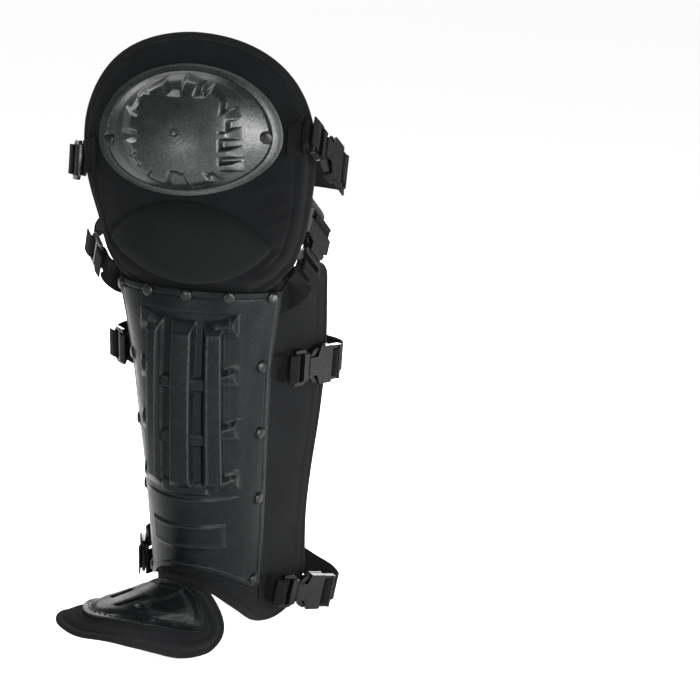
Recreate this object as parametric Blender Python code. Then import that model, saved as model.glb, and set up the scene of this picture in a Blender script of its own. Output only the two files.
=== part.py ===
"""Riot leg guard for one leg: a soft knee pad with a hard cap, a soft shin pad with a ribbed hard
plate, a hinged instep guard, and four webbing straps with buckles.

Sizes and places are in millimetres. +Z runs up the leg, the front of the shin faces -Y, and the
origin is on the axis of the leg at the middle of the shin."""

import math

import bmesh
import bpy
import numpy as np
from mathutils import Vector

MM = 0.001
GAP = 0.4

ARC_HALF_ANGLE = math.radians(72)
PLATE_WALL = 3.0
PAD_WALL = 8.0
PAD_EDGE = 4.0
PAD_INSET = 4.6
PAD_ARC_SHARE = 0.54
BINDING_WIDTH = 6.6
BINDING_GAP = 0.8
BINDING_THICK = 5.0
RIVET_RADIUS = 5.8
RIVET_HEIGHT = 2.6

# Sections across the shin. plate_half and plate_y are the hard plate's rear edge, front_y is its
# front, and wing_x and wing_y are the free edge of the soft pad.
SHIN_COLUMNS = ("z", "plate_half", "plate_y", "front_y", "wing_x", "wing_y")
SHIN_SECTIONS = (
    (160, 89, -27, -57, 112.5, 42),
    (138, 86.5, -26, -60, 112, 45),
    (98, 80.5, -23, -66, 111.5, 49),
    (60, 75.5, -20, -69, 110.5, 53),
    (-12, 70.5, -13.5, -71, 104.5, 59),
    (-90, 66, -5, -68, 94, 67),
    (-140, 63.7, -2, -63, 89, 72),
    (-205, 61, 2, -57, 88, 76),
    (-255, 60, 4, -54, 88, 77),
)

# Sections across the knee panel: left_x and right_x are its side edges, which lie at edge_y,
# and front_y is its front.
KNEE_COLUMNS = ("z", "left_x", "right_x", "edge_y", "front_y")
KNEE_SECTIONS = (
    (395, 110, 113, -26, -47),
    (345, 112, 116, -33, -55),
    (285, 115.5, 117, -40, -62),
    (240, 111.5, 115, -42, -66),
    (205, 103.5, 110, -40, -67),
    (170, 96, 98.5, -36, -63),
    (151, 90, 92, -31, -58.5),
    (141, 82.3, 82.8, -25.4, -55),
    (125, 80.5, 80.5, -22.8, -54.2),
)
KNEE_LEFT_DROP = 6
KNEE_WIDE_Z = 265
KNEE_TOP_RISE = 112
KNEE_BOTTOM = 133

# Lower edge of the shin pad from its front (0) to its free edge (1).
PAD_BOTTOM = (
    (0, -182),
    (0.12, -184.5),
    (0.2, -188),
    (0.3, -201),
    (0.42, -219),
    (0.54, -238),
    (0.66, -248.5),
    (0.76, -251),
    (0.85, -247),
    (0.92, -238),
    (0.97, -224),
    (1, -206),
)

PLATE_TOP = 139
PLATE_CORNER = -204
PLATE_ARCH = 44
PLATE_ARCH_FLATNESS = 2.6
PLATE_RIM = 4.5
RIM_HEIGHT = 1.4

# Raised ribs of the plate by their flat tops, left to right, with sloping sides rib_slope wide.
RIB_COLUMNS = ("x0", "x1")
RIBS = ((-38, -25), (-11, 10), (25, 37))
RIB_SLOPE = 2.2
RIB_HEIGHT = 5.5
RIB_TOP = 103
RIB_BOTTOM = -64
RIB_END_SLOPE = 10
PANEL_HALF = 54
PANEL_TOP = 118
PANEL_BOTTOM = -78
PANEL_DEPTH = 1.3
PANEL_SLOPE = 2.0
BLOCK_TOPS = (57, -1, -58)
BLOCK_TALL = 12
BLOCK_HEIGHT = 3.4
BLOCK_HALF = 49
LABEL_HALF = 38
LABEL_TOP = -108
LABEL_BOTTOM = -138
LABEL_HEIGHT = 1.6

# Rings of the knee cap from its middle to its outline, each half an ellipse above its centre
# height and half below. lift is the shell's outer face above the panel, and dome is how far the
# raised gear shape stands above the shell on a tooth and, as gap, between two teeth.
CAP_RINGS = (
    # half, up, down, centre_z, lift, dome, gap
    (38, 32, 30, 294, 18.6, 6.2, 6.2),
    (41, 35, 33, 294, 18.0, 6.0, 0.0),
    (51.5, 45.5, 43.5, 293.5, 15.6, 5.0, 0.0),
    (54.5, 48.5, 46.4, 293, 14.9, 0.0, 0.0),
    (80.5, 62.5, 47.5, 287, 4.8, 0.0, 0.0),
    (82.5, 64, 49, 287, 3.4, 0.0, 0.0),
    (92.5, 69, 53, 287, 3.4, 0.0, 0.0),
)
CAP_CENTRE = (294, 21.0, 8.0)
CAP_TILT = math.radians(4.5)
CAP_TILT_Z = 287
CAP_WALL = 3.0
GEAR_TEETH = 12

ROLL_CENTRE_Z = 187.5
ROLL_HALF_WIDTH = 81
ROLL_HALF_HEIGHT = 38
ROLL_THICK = 13

WEB_WIDTH = 30.0
WEB_THICK = 1.7
STRAP_STEPS = 12

FOOT_HINGE = (-8.0, -62.0)
FOOT_TWIST = math.radians(32)
FOOT_COLUMNS = ("s", "ridge_z", "half", "edge_z")
FOOT_SECTIONS = (
    (-40, -176, 46, -230),
    (0, -173, 48, -235),
    (30, -176, 47.5, -228),
    (60, -178, 45, -211),
    (90, -178, 41, -194),
    (120, -178, 35, -182),
    (150, -180, 27, -180),
)
# Rear edge of the instep pad from its left side (-1) to its right (1), and of its hard cover.
FOOT_REAR = (
    (-1, -2),
    (-0.9, -8),
    (-0.7, 2),
    (-0.5, 8),
    (-0.2, 7),
    (0, 5),
    (0.15, -2),
    (0.26, -10),
    (0.37, -15),
    (0.51, -17.5),
    (0.65, -20),
    (0.8, -22),
    (0.9, -21),
    (0.96, -16),
    (1, -6),
)
COVER_REAR = (
    (-0.7, 16),
    (-0.5, 15),
    (-0.2, 16),
    (0, 14),
    (0.2, -1),
    (0.37, -7.5),
    (0.5, -6),
    (0.6, 0),
    (0.7, 5),
)
COVER_SHARE = 0.7
HINGE_CENTRE = -0.058
HINGE_SPREAD = 0.42
FOOT_PAD_WALL = 8.0
FOOT_CAP_WALL = 3.2
COVER_LIFT = 1.8
GROOVES = ((-0.34, -0.24), (0.12, 0.22))
GROOVE_DEPTH = 2.2

SLOT_HALF = 15.6
BAR = 3.4
SLIDER_LONG = 25.0
SLIDER_HALF = 19.5
SLIDER_THICK = 3.6
SLIDER_WRAP = 3.9
BASE_WRAP = 4.4
BASE_THICK = 4.8
MALE_BAR = 1.7
MALE_BASE = 16.0
BODY_START = 16.5
BODY_LONG = 46.0
BODY_HALF = 20.5
BODY_THICK = 11.0
NOTCH = 13.0
WAIST_HALF = 12.5
# Webbing through the body's two slots, measured from the body's end: u along and n outward.
LADDER = (
    (-27, -8.6),
    (-15.5, -8.1),
    (-13.2, -6.2),
    (-12.4, -3.0),
    (-12.4, 3.0),
    (-11.7, 4.4),
    (-10.6, 4.9),
    (-6.4, 4.9),
    (-5.3, 4.4),
    (-4.6, 3.0),
    (-4.6, -3.0),
    (-3.9, -4.7),
    (-2.2, -5.2),
    (8, -6.3),
)
# Sliders at the left edge: centre, direction of the strap, and outward direction.
SLIDER_FRAMES = {
    "knee": ((-127, -33, 254), (-0.6, 0.78, -0.1), (-0.78, -0.6, 0.1)),
    "upper_shin": ((-117, -15, 158), (-0.62, 0.55, 0.56), (-0.7, -0.7, -0.09)),
    "mid_shin": ((-102, 8, 53), (-0.72, 0.69, -0.02), (-0.69, -0.72, 0)),
    "ankle": ((-84, 23, -194), (-0.35, 0.93, 0.05), (-0.93, -0.35, 0)),
}
# Buckles at the right edge: the stub's bar, direction of the strap, and outward direction.
BUCKLE_FRAMES = {
    "knee": ((122, -48, 295), (0.273, 0.737, -0.618), (0.945, -0.134, 0.257)),
    "upper_shin": ((109, -14, 160), (-0.03, 0.74, 0.68), (0.96, -0.17, 0.23)),
    "mid_shin": ((94, 3, 51), (0.5, 0.86, -0.05), (0.86, -0.5, 0)),
    "ankle": ((82, 18, -212), (0.7, 0.68, -0.2), (0.68, -0.7, 0)),
}
# Points that the free part of each strap passes behind the leg, from left to right.
REAR_ROUTES = {
    "knee": (
        (-126, 26, 250), (-104, 78, 245), (-40, 110, 242), (30, 114, 241), (92, 88, 240), (124, 50, 246),
    ),
    "upper_shin": ((-121, 30, 187), (-98, 78, 203), (-40, 108, 210), (30, 112, 214), (84, 84, 214)),
    "mid_shin": ((-118, 45, 52), (-100, 85, 50), (-45, 118, 48), (30, 124, 47), (95, 105, 46), (128, 78, 46)),
    "ankle": (
        (-98, 60, -195), (-82, 100, -197), (-35, 128, -203),
        (30, 132, -211), (86, 112, -223), (124, 86, -228),
    ),
}
# How each strap's tabs run over the soft pads before they leave for their bar: heights where
# they start and leave, and how far across they are there.
LEFT_TABS = {
    "knee": (266, 262, 96, 106),
    "upper_shin": (125, 131, 0.572, 0.6),
    "mid_shin": (53, 53, 0.555, 0.62),
    "ankle": (-198, -196, 0.555, 0.64),
}
RIGHT_TABS = {
    "knee": (290, 293, 96, 108),
    "upper_shin": (125, 131, 0.572, 0.6),
    "mid_shin": (53, 52, 0.555, 0.62),
    "ankle": (-206, -209, 0.555, 0.62),
}
TAB_LIFTS = {
    "knee": (3.2, 3.8, 4.6),
    "upper_shin": (2.0, 2.8, 4.0),
    "mid_shin": (2.1, 2.4, 3.0),
    "ankle": (1.8, 2.2, 3.0),
}

# Plate rivets: name and place, as x and z seen from the front.
PLATE_RIVETS = {
    "top_1": (-79.5, 133.5),
    "top_2": (-42, 134.5),
    "top_3": (0, 134.5),
    "top_4": (42, 134.5),
    "top_5": (79.5, 133.5),
    "right_1": (69.4, 61),
    "right_2": (66.2, -13),
    "right_3": (62.8, -90),
    "right_4": (57.5, -187),
    "left_1": (-69.4, 61),
    "left_2": (-66.2, -13),
    "left_3": (-62.8, -90),
    "left_4": (-57.5, -187),
}
CAP_RIVETS = {"left": (-77.5, 280.8), "right": (77.5, 293.0)}
CAP_RIVET_LIFT = 6.8
CAP_RIVET_LEAN = 0.3


def smooth_rows(rows, names, heights):
    """Every column of a table at the given values of its first column, by cubic curves."""
    table = np.array(sorted(rows), float)
    knots = table[:, 0]
    heights = np.clip(np.asarray(heights, float), knots[0], knots[-1])
    k = np.clip(np.searchsorted(knots, heights, side="right") - 1, 0, len(knots) - 2)
    step = knots[k + 1] - knots[k]
    w = (heights - knots[k]) / step
    found = {}
    for column, name in enumerate(names[1:], start=1):
        value = table[:, column]
        slope = np.gradient(value, knots)
        rise = value[k + 1] - value[k]
        first = slope[k] * step
        last = slope[k + 1] * step
        found[name] = (
            value[k] + first * w + (3 * rise - 2 * first - last) * w**2 + (first + last - 2 * rise) * w**3
        )
    return found


def arc_angle(x, half):
    """Where x lies on an arc whose edges are at half, as an angle from the front."""
    ratio = np.clip(x / half, -1, 1) * math.sin(ARC_HALF_ANGLE)
    return np.arcsin(ratio)


def arc_points(angle, half, edge_y, front_y):
    """Points and outward normals of an elliptic arc: x, y, normal x, normal y."""
    across = half / math.sin(ARC_HALF_ANGLE)
    deep = (edge_y - front_y) / (1 - math.cos(ARC_HALF_ANGLE))
    x = across * np.sin(angle)
    y = front_y + deep * (1 - np.cos(angle))
    nx = deep * np.sin(angle)
    ny = -across * np.cos(angle)
    long = np.hypot(nx, ny)
    return x, y, nx / long, ny / long


def lifted(x, y, nx, ny, z, lift):
    return np.stack([x + nx * lift, y + ny * lift, z + 0 * x], axis=-1)


def plate_surface(x, z, lift):
    row = smooth_rows(SHIN_SECTIONS, SHIN_COLUMNS, z)
    angle = arc_angle(x, row["plate_half"])
    return lifted(*arc_points(angle, row["plate_half"], row["plate_y"], row["front_y"]), z, lift)


def knee_surface(x, z, lift):
    row = smooth_rows(KNEE_SECTIONS, KNEE_COLUMNS, z)
    half = np.where(x < 0, row["left_x"], row["right_x"])
    return lifted(*arc_points(arc_angle(x, half), half, row["edge_y"], row["front_y"]), z, lift)


def pad_surface(q, z, lift):
    """The shin pad's outer face. q runs from -1 to 1: an arc close behind the plate up to
    PAD_ARC_SHARE, then a straightening wing to the free edge."""
    row = smooth_rows(SHIN_SECTIONS, SHIN_COLUMNS, z)
    side = np.where(q < 0, -1.0, 1.0)
    reach = np.abs(q)
    angle = np.minimum(reach / PAD_ARC_SHARE, 1) * ARC_HALF_ANGLE
    ax, ay, anx, any_ = arc_points(angle, row["plate_half"], row["plate_y"], row["front_y"])
    ax = ax - anx * PAD_INSET
    ay = ay - any_ * PAD_INSET
    w = np.clip((reach - PAD_ARC_SHARE) / (1 - PAD_ARC_SHARE), 0, 1)
    ex = row["wing_x"] - ax
    ey = row["wing_y"] - ay
    long = np.hypot(ex, ey)
    start_x = -any_ * long
    start_y = anx * long
    bend = w**3 - 2 * w**2 + w
    blend = 3 * w**2 - 2 * w**3
    close = w**3 - w**2
    wx = ax + start_x * bend + ex * blend + ex * 0.95 * close
    wy = ay + start_y * bend + ey * blend + ey * 1.02 * close
    dx = start_x * (3 * w**2 - 4 * w + 1) + ex * (6 * w - 6 * w**2) + ex * 0.95 * (3 * w**2 - 2 * w)
    dy = start_y * (3 * w**2 - 4 * w + 1) + ey * (6 * w - 6 * w**2) + ey * 1.02 * (3 * w**2 - 2 * w)
    step = np.hypot(dx, dy)
    on_arc = reach <= PAD_ARC_SHARE
    nx = np.where(on_arc, anx, dy / step)
    ny = np.where(on_arc, any_, -dx / step)
    return lifted(side * np.where(on_arc, ax, wx), np.where(on_arc, ay, wy), side * nx, ny, z, lift)


def material(name, colour, roughness, metallic=0.0):
    made = bpy.data.materials.new(name)
    made.use_nodes = True
    shader = made.node_tree.nodes["Principled BSDF"]
    shader.inputs["Base Color"].default_value = (*colour, 1.0)
    shader.inputs["Roughness"].default_value = roughness
    shader.inputs["Metallic"].default_value = metallic
    return made


def add_object(name, points, faces, look, sharp=35):
    """A named object in the scene from points in millimetres and lists of corner numbers."""
    mesh = bpy.data.meshes.new(name)
    mesh.from_pydata((np.asarray(points, float) * MM).tolist(), [], faces)
    shape = bmesh.new()
    shape.from_mesh(mesh)
    bmesh.ops.remove_doubles(shape, verts=shape.verts, dist=1e-6)
    bmesh.ops.recalc_face_normals(shape, faces=shape.faces)
    shape.to_mesh(mesh)
    shape.free()
    mesh.materials.append(look)
    mesh.shade_smooth()
    mesh.set_sharp_from_angle(angle=math.radians(sharp))
    made = bpy.data.objects.new(name, mesh)
    bpy.context.scene.collection.objects.link(made)
    return made


def grid_faces(rows, columns, start=0, turned=False):
    faces = []
    for i in range(rows - 1):
        for j in range(columns - 1):
            a = start + i * columns + j
            face = [a, a + 1, a + columns + 1, a + columns]
            faces.append(face[::-1] if turned else face)
    return faces


def rim_of(rows, columns):
    """Corner numbers round the border of a grid, once round."""
    bottom = list(range(columns - 1))
    right = [i * columns + columns - 1 for i in range(rows - 1)]
    top = [(rows - 1) * columns + j for j in range(columns - 1, 0, -1)]
    left = [i * columns for i in range(rows - 1, 0, -1)]
    return bottom + right + top + left


def slab(name, outer, inner, look, sharp=35):
    """A closed wall between two grids of the same size, joined round the border."""
    rows, columns = outer.shape[:2]
    points = np.concatenate([outer.reshape(-1, 3), inner.reshape(-1, 3)])
    count = rows * columns
    faces = grid_faces(rows, columns) + grid_faces(rows, columns, count, turned=True)
    rim = rim_of(rows, columns)
    for a, b in zip(rim, rim[1:] + rim[:1]):
        faces.append([b, a, a + count, b + count])
    return add_object(name, points, faces, look, sharp)


def bind_edge(name, outer, inner, look):
    """Edge binding: a flat bead just outside the border of a slab's two grids."""
    rim = rim_of(*outer.shape[:2])
    out_line = outer.reshape(-1, 3)[rim]
    in_line = inner.reshape(-1, 3)[rim]
    middle = (out_line + in_line) / 2
    along = np.roll(middle, -1, axis=0) - np.roll(middle, 1, axis=0)
    along /= np.linalg.norm(along, axis=1)[:, None]
    through = out_line - in_line
    through -= along * (through * along).sum(axis=1)[:, None]
    through /= np.linalg.norm(through, axis=1)[:, None]
    away = np.cross(along, through)
    away *= np.sign((away * (middle - middle.mean(axis=0))).sum())
    near = middle + away * BINDING_GAP
    far = near + away * BINDING_WIDTH
    half = through * BINDING_THICK / 2
    ring = np.stack([near - half, far - 0.6 * half, far + 0.6 * half, near + half], axis=1)
    faces = []
    count = len(rim)
    for i in range(count):
        n = (i + 1) % count
        for j in range(4):
            k = (j + 1) % 4
            faces.append([i * 4 + j, n * 4 + j, n * 4 + k, i * 4 + k])
    return add_object(name, ring.reshape(-1, 3), faces, look, sharp=50)


def edge_softness(u, v, width_u, width_v):
    """1 inside a padded panel, falling to 0 in a round at its border. u and v run 0 to 1."""
    near_u = np.clip(np.minimum(u, 1 - u) / width_u, 0, 1)
    near_v = np.clip(np.minimum(v, 1 - v) / width_v, 0, 1)
    near = near_u * near_v
    return np.sqrt(1 - (1 - near) ** 2)


def ramp(distance, width):
    return np.clip(distance / width, 0, 1)


def raised(x, z, x0, x1, z0, z1, slope_x, slope_z):
    """A flat-topped block, 1 between its edges and sloping to 0 outside them."""
    across = ramp(np.minimum(x - x0, x1 - x) + slope_x, slope_x)
    along = ramp(np.minimum(z - z0, z1 - z) + slope_z, slope_z)
    return np.minimum(across, along)


def plate_relief(x, z):
    """Height of the moulded relief above the plate's plain surface."""
    inside = raised(x, z, -PANEL_HALF, PANEL_HALF, PANEL_BOTTOM, PANEL_TOP, PANEL_SLOPE, PANEL_SLOPE)
    height = -PANEL_DEPTH * inside
    for x0, x1 in RIBS:
        rib = raised(x, z, x0, x1, RIB_BOTTOM, RIB_TOP, RIB_SLOPE, RIB_END_SLOPE)
        height = np.maximum(height, RIB_HEIGHT * rib - PANEL_DEPTH * (rib < 1))
    for top in BLOCK_TOPS:
        block = raised(x, z, -BLOCK_HALF, BLOCK_HALF, top - BLOCK_TALL, top, 4.0, PANEL_SLOPE)
        height = np.maximum(height, np.where(block > 0, BLOCK_HEIGHT * block - PANEL_DEPTH * (block < 1), -9))
    label = raised(x, z, -LABEL_HALF, LABEL_HALF, LABEL_BOTTOM, LABEL_TOP, PANEL_SLOPE, PANEL_SLOPE)
    return np.where(label > 0, LABEL_HEIGHT * label, height)


def plate_bottom(x, half):
    """Lower edge of the plate: an arch over the instep between two low corners."""
    reach = np.clip(np.abs(x) / half, 0, 1)
    return PLATE_CORNER + PLATE_ARCH * (1 - reach**PLATE_ARCH_FLATNESS)


def plate_grids():
    inner_x = [0, 10, 12.2, 22.8, 25, 37, 39.2, 49, 54]
    level_z = [PLATE_TOP, PLATE_TOP - PLATE_RIM, PLATE_TOP - PLATE_RIM - 1.5, 120, 118, 113, RIB_TOP]
    for top in BLOCK_TOPS:
        level_z += [top + 2, top, top - BLOCK_TALL, top - BLOCK_TALL - 2]
    level_z += [-78, -80, LABEL_TOP + 2, LABEL_TOP, LABEL_BOTTOM, LABEL_BOTTOM - 2]
    level_z = sorted(set(level_z), reverse=True)
    xs = []
    zs = []
    for k, level in enumerate(level_z + [0.5, 0.93, 1]):
        is_level = k < len(level_z)
        height = level if is_level else LABEL_BOTTOM - 2
        half = float(smooth_rows(SHIN_SECTIONS, SHIN_COLUMNS, height)["plate_half"])
        right = inner_x + [(54 + half) / 2, half - 0.9, half - 0.4, half]
        row = np.array([-x for x in right[:0:-1]] + right)
        z = np.full(len(row), float(height))
        if not is_level:
            low = plate_bottom(row, half)
            z = z + (low - height) * level
            half_here = smooth_rows(SHIN_SECTIONS, SHIN_COLUMNS, z)["plate_half"]
            row = row * half_here / half
        xs.append(row)
        zs.append(z)
    return np.array(xs), np.array(zs)


def make_shin_plate(look):
    x, z = plate_grids()
    relief = plate_relief(x, z)
    border = np.zeros(x.shape, bool)
    border[0, :] = border[1, :] = True
    border[:, :2] = border[:, -2:] = True
    border[-1, :] = True
    relief = np.where(border, RIM_HEIGHT, relief)
    outer = plate_surface(x, z, relief)
    inner = plate_surface(x, z, -PLATE_WALL + 0 * x)
    slab("shin_plate", outer, inner, look, sharp=20)


def knee_outline(u):
    """Top and bottom of the knee panel at u, which runs from -1 to 1 across it."""
    reach = np.abs(u)
    top = KNEE_WIDE_Z + KNEE_TOP_RISE * (1 - reach**2.1) ** 0.62
    top = top - KNEE_LEFT_DROP * np.clip(-u, 0, 1)
    bottom = KNEE_BOTTOM + 40 * np.clip((reach - 0.5) / 0.5, 0, 1)
    return top, bottom


def make_knee_pad(cloth, tape):
    u = np.linspace(-1, 1, 17)
    v = np.linspace(0, 1, 8)
    top, bottom = knee_outline(u)
    z = bottom[None, :] + (top - bottom)[None, :] * v[:, None]
    row = smooth_rows(KNEE_SECTIONS, KNEE_COLUMNS, z)
    angle = u[None, :] * ARC_HALF_ANGLE
    half = np.where(u[None, :] < 0, row["left_x"], row["right_x"])
    base = arc_points(angle, half, row["edge_y"], row["front_y"])
    soft = edge_softness((u[None, :] + 1) / 2, v[:, None], 0.08, 0.12)
    drop = (PAD_WALL - PAD_EDGE) / 2 * (1 - soft)
    outer = lifted(*base, z, -drop)
    inner = lifted(*base, z, -PAD_WALL + drop)
    slab("knee_pad", outer, inner, cloth)
    bind_edge("knee_pad_binding", outer, inner, tape)


def pad_outline(q):
    """Top and bottom of the shin pad at q, which runs from -1 to 1 round it."""
    reach = np.abs(q)
    top = 115 + 37 * np.clip((reach - 0.46) / 0.12, 0, 1)
    corner = np.clip((reach - 0.9) / 0.1, 0, 1)
    top = top - 8 * (1 - np.sqrt(1 - corner**2))
    bottom = smooth_rows(PAD_BOTTOM, ("q", "z"), reach)["z"]
    return top, bottom


def make_shin_pad(cloth, tape):
    q = np.linspace(-1, 1, 25)
    v = np.linspace(0, 1, 8)
    top, bottom = pad_outline(q)
    z = bottom[None, :] + (top - bottom)[None, :] * v[:, None]
    across = q[None, :] + 0 * z
    soft = edge_softness((across + 1) / 2, v[:, None], 0.06, 0.1)
    drop = (PAD_WALL - PAD_EDGE) / 2 * (1 - soft)
    outer = pad_surface(across, z, -drop)
    inner = pad_surface(across, z, -PAD_WALL + drop)
    slab("shin_pad", outer, inner, cloth)
    bind_edge("shin_pad_binding", outer, inner, tape)


def cap_point(turn, half, up, down, centre_z, lift):
    """Points of the knee cap on one ring of its table, tilted with the whole cap."""
    tall = np.where(np.sin(turn) > 0, up, down)
    x = half * np.cos(turn)
    z = centre_z - CAP_TILT_Z + tall * np.sin(turn)
    tilted_x = x * math.cos(CAP_TILT) - z * math.sin(CAP_TILT)
    tilted_z = CAP_TILT_Z + x * math.sin(CAP_TILT) + z * math.cos(CAP_TILT)
    return knee_surface(tilted_x, tilted_z, lift)


def make_knee_cap(look):
    pitch = 2 * math.pi / GEAR_TEETH
    places = np.array([-0.27, -0.2, 0.2, 0.27]) * pitch
    centres = (np.arange(GEAR_TEETH) + 0.5) * pitch
    turn = (centres[:, None] + places[None, :]).ravel()
    tooth = np.tile([0.0, 1.0, 1.0, 0.0], GEAR_TEETH)
    count = len(turn)
    rings = len(CAP_RINGS)
    outer = []
    inner = []
    for half, up, down, centre_z, lift, dome, gap in CAP_RINGS:
        raise_by = gap + (dome - gap) * tooth
        outer.append(cap_point(turn, half, up, down, centre_z, lift + raise_by))
        back = max(lift + gap - CAP_WALL, GAP)
        inner.append(cap_point(turn, half - 0.01, up, down, centre_z, back + 0 * turn))
    middle_z, lift, dome = CAP_CENTRE
    poles = []
    for wall in (0, CAP_WALL):
        poles.append(cap_point(np.zeros(1), 0, 0, 0, middle_z, np.full(1, lift + dome - wall)))
    points = np.concatenate(outer + inner + poles)
    faces = []
    half_count = rings * count
    for side in (0, 1):
        first = side * half_count
        pole = 2 * half_count + side
        for j in range(count):
            k = (j + 1) % count
            cell = [pole, first + j, first + k]
            faces.append(cell if side == 0 else cell[::-1])
            for i in range(rings - 1):
                a = first + i * count
                cell = [a + j, a + count + j, a + count + k, a + k]
                faces.append(cell if side == 0 else cell[::-1])
    last = (rings - 1) * count
    for j in range(count):
        k = (j + 1) % count
        faces.append([last + j, half_count + last + j, half_count + last + k, last + k])
    add_object("knee_cap", points, faces, look, sharp=25)


def make_knee_roll(cloth):
    """Pointed oval cushion under the cap."""
    u = np.linspace(-0.985, 0.985, 13)
    v = np.linspace(-1, 1, 7)
    x = ROLL_HALF_WIDTH * u[None, :] + 0 * v[:, None]
    z = ROLL_CENTRE_Z + ROLL_HALF_HEIGHT * (1 - u[None, :] ** 2) ** 0.9 * v[:, None]
    dome = (1 - np.abs(v[:, None]) ** 2.6) ** 0.6 * (1 - np.abs(u[None, :]) ** 3) ** 0.5
    outer = knee_surface(x, z, GAP + 1.2 + (ROLL_THICK - 1.2) * dome)
    inner = knee_surface(x, z, GAP + 0 * dome)
    slab("knee_roll", outer, inner, cloth)


def foot_place(s, w, z):
    """A point s forward of the hinge and w to its side, in the turned frame of the foot guard."""
    forward = (-math.sin(FOOT_TWIST), -math.cos(FOOT_TWIST))
    side = (math.cos(FOOT_TWIST), -math.sin(FOOT_TWIST))
    x = FOOT_HINGE[0] + forward[0] * s + side[0] * w
    y = FOOT_HINGE[1] + forward[1] * s + side[1] * w
    return np.stack([x, y, z], axis=-1)


def foot_surface(s, u, lift):
    """The foot guard's outer face, an arch over the instep. u runs from -1 to 1 across it."""
    row = smooth_rows(FOOT_SECTIONS, FOOT_COLUMNS, s)
    span = math.radians(78)
    angle = u * span
    wide = row["half"] / math.sin(span)
    tall = (row["ridge_z"] - row["edge_z"]) / (1 - math.cos(span))
    w = wide * np.sin(angle)
    z = row["ridge_z"] - tall * (1 - np.cos(angle))
    nw = tall * np.sin(angle)
    nz = wide * np.cos(angle)
    long = np.hypot(nw, nz)
    return foot_place(s, w + nw / long * lift, z + nz / long * lift)


def make_foot_pad(cloth, tape):
    u = np.linspace(-1, 1, 19)
    v = np.linspace(0, 1, 6)
    rear = smooth_rows(FOOT_REAR, ("u", "s"), u)["s"]
    front = 131 - 44 * np.abs(u) ** 3.0
    s = rear[None, :] + (front - rear)[None, :] * v[:, None]
    across = u[None, :] + 0 * s
    soft = edge_softness((across + 1) / 2, v[:, None], 0.1, 0.12)
    drop = (FOOT_PAD_WALL - PAD_EDGE) / 2 * (1 - soft)
    outer = foot_surface(s, across, -drop)
    inner = foot_surface(s, across, -FOOT_PAD_WALL + drop)
    slab("foot_pad", outer, inner, cloth)
    bind_edge("foot_pad_binding", outer, inner, tape)


def make_foot_cap(look):
    """Hard cover of the instep, with two long grooves along its top."""
    u = np.array([-1, -0.94, -0.7, -0.4, -0.34, -0.24, -0.18, 0.06, 0.12, 0.22, 0.28, 0.6, 0.94, 1])
    v = np.array([0, 0.05, 0.2, 0.36, 0.39, 0.76, 0.79, 0.95, 1])
    across = COVER_SHARE * u[None, :] + 0 * v[:, None]
    rear = smooth_rows(COVER_REAR, ("u", "s"), across[0])["s"]
    front = 112 - 42 * np.abs(u) ** 2.2
    s = rear[None, :] + (front - rear)[None, :] * v[:, None]
    wide = u[None, :] + 0 * s
    long = v[:, None] + 0 * s
    groove = np.zeros(s.shape)
    for first, last in GROOVES:
        groove = np.maximum(groove, raised(wide, long, first, last, 0.39, 0.76, 0.06, 0.03))
    outer = foot_surface(s, across, COVER_LIFT + FOOT_CAP_WALL - GROOVE_DEPTH * groove)
    inner = foot_surface(s, across, COVER_LIFT + 0 * s)
    slab("foot_cap", outer, inner, look, sharp=25)


def grid_normals(points):
    """Unit normals of a grid of points."""
    along = np.gradient(points, axis=0)
    across = np.gradient(points, axis=1)
    normal = np.cross(across, along)
    return normal / np.linalg.norm(normal, axis=2)[:, :, None]


def make_foot_hinge(cloth):
    """Fabric strip that hangs the instep guard from the front of the shin pad, and lies on the
    rear edge of the instep pad."""
    u = np.linspace(-0.36, 0.36, 7)
    flat = 0 * u
    across_pad = HINGE_CENTRE + HINGE_SPREAD * u
    rear = smooth_rows(FOOT_REAR, ("u", "s"), u)["s"]
    rows = [
        pad_surface(across_pad, -168.5 + flat, 2.4 + flat),
        pad_surface(across_pad, -172.0 + flat, 2.8 + flat),
        foot_surface(rear - 1.5, u, 3.4 + flat),
        foot_surface(rear + 3.5, u, 1.8 + flat),
    ]
    middle = np.array(rows)
    thick = grid_normals(middle) * 0.8
    slab("foot_hinge", middle + thick, middle - thick, cloth)


def unit(vector):
    return vector / np.linalg.norm(vector)


def frame_at(origin, along, outward):
    """Origin and axes of a strap fitting: along the strap, across it, and outward."""
    along = unit(np.array(along, float))
    outward = np.array(outward, float)
    outward = unit(outward - along * (outward @ along))
    across = np.cross(outward, along)
    return np.array(origin, float), along, across, outward


def from_frame(frame, u, v, n):
    origin, along, across, outward = frame
    u, v, n = np.broadcast_arrays(np.asarray(u, float), np.asarray(v, float), np.asarray(n, float))
    return origin + u[..., None] * along + v[..., None] * across + n[..., None] * outward


def spline(points, count):
    """A smooth line through the points, read at equal steps of its length."""
    knots = np.array(points, float)
    chord = np.concatenate([[0], np.cumsum(np.linalg.norm(np.diff(knots, axis=0), axis=1))])
    rows = np.column_stack([chord, knots]).tolist()
    fine = np.linspace(0, chord[-1], 12 * count)
    read = smooth_rows(rows, ("d", "x", "y", "z"), fine)
    line = np.column_stack([read["x"], read["y"], read["z"]])
    run = np.concatenate([[0], np.cumsum(np.linalg.norm(np.diff(line, axis=0), axis=1))])
    even = np.linspace(0, run[-1], count)
    return np.column_stack([np.interp(even, run, line[:, k]) for k in range(3)])


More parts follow.
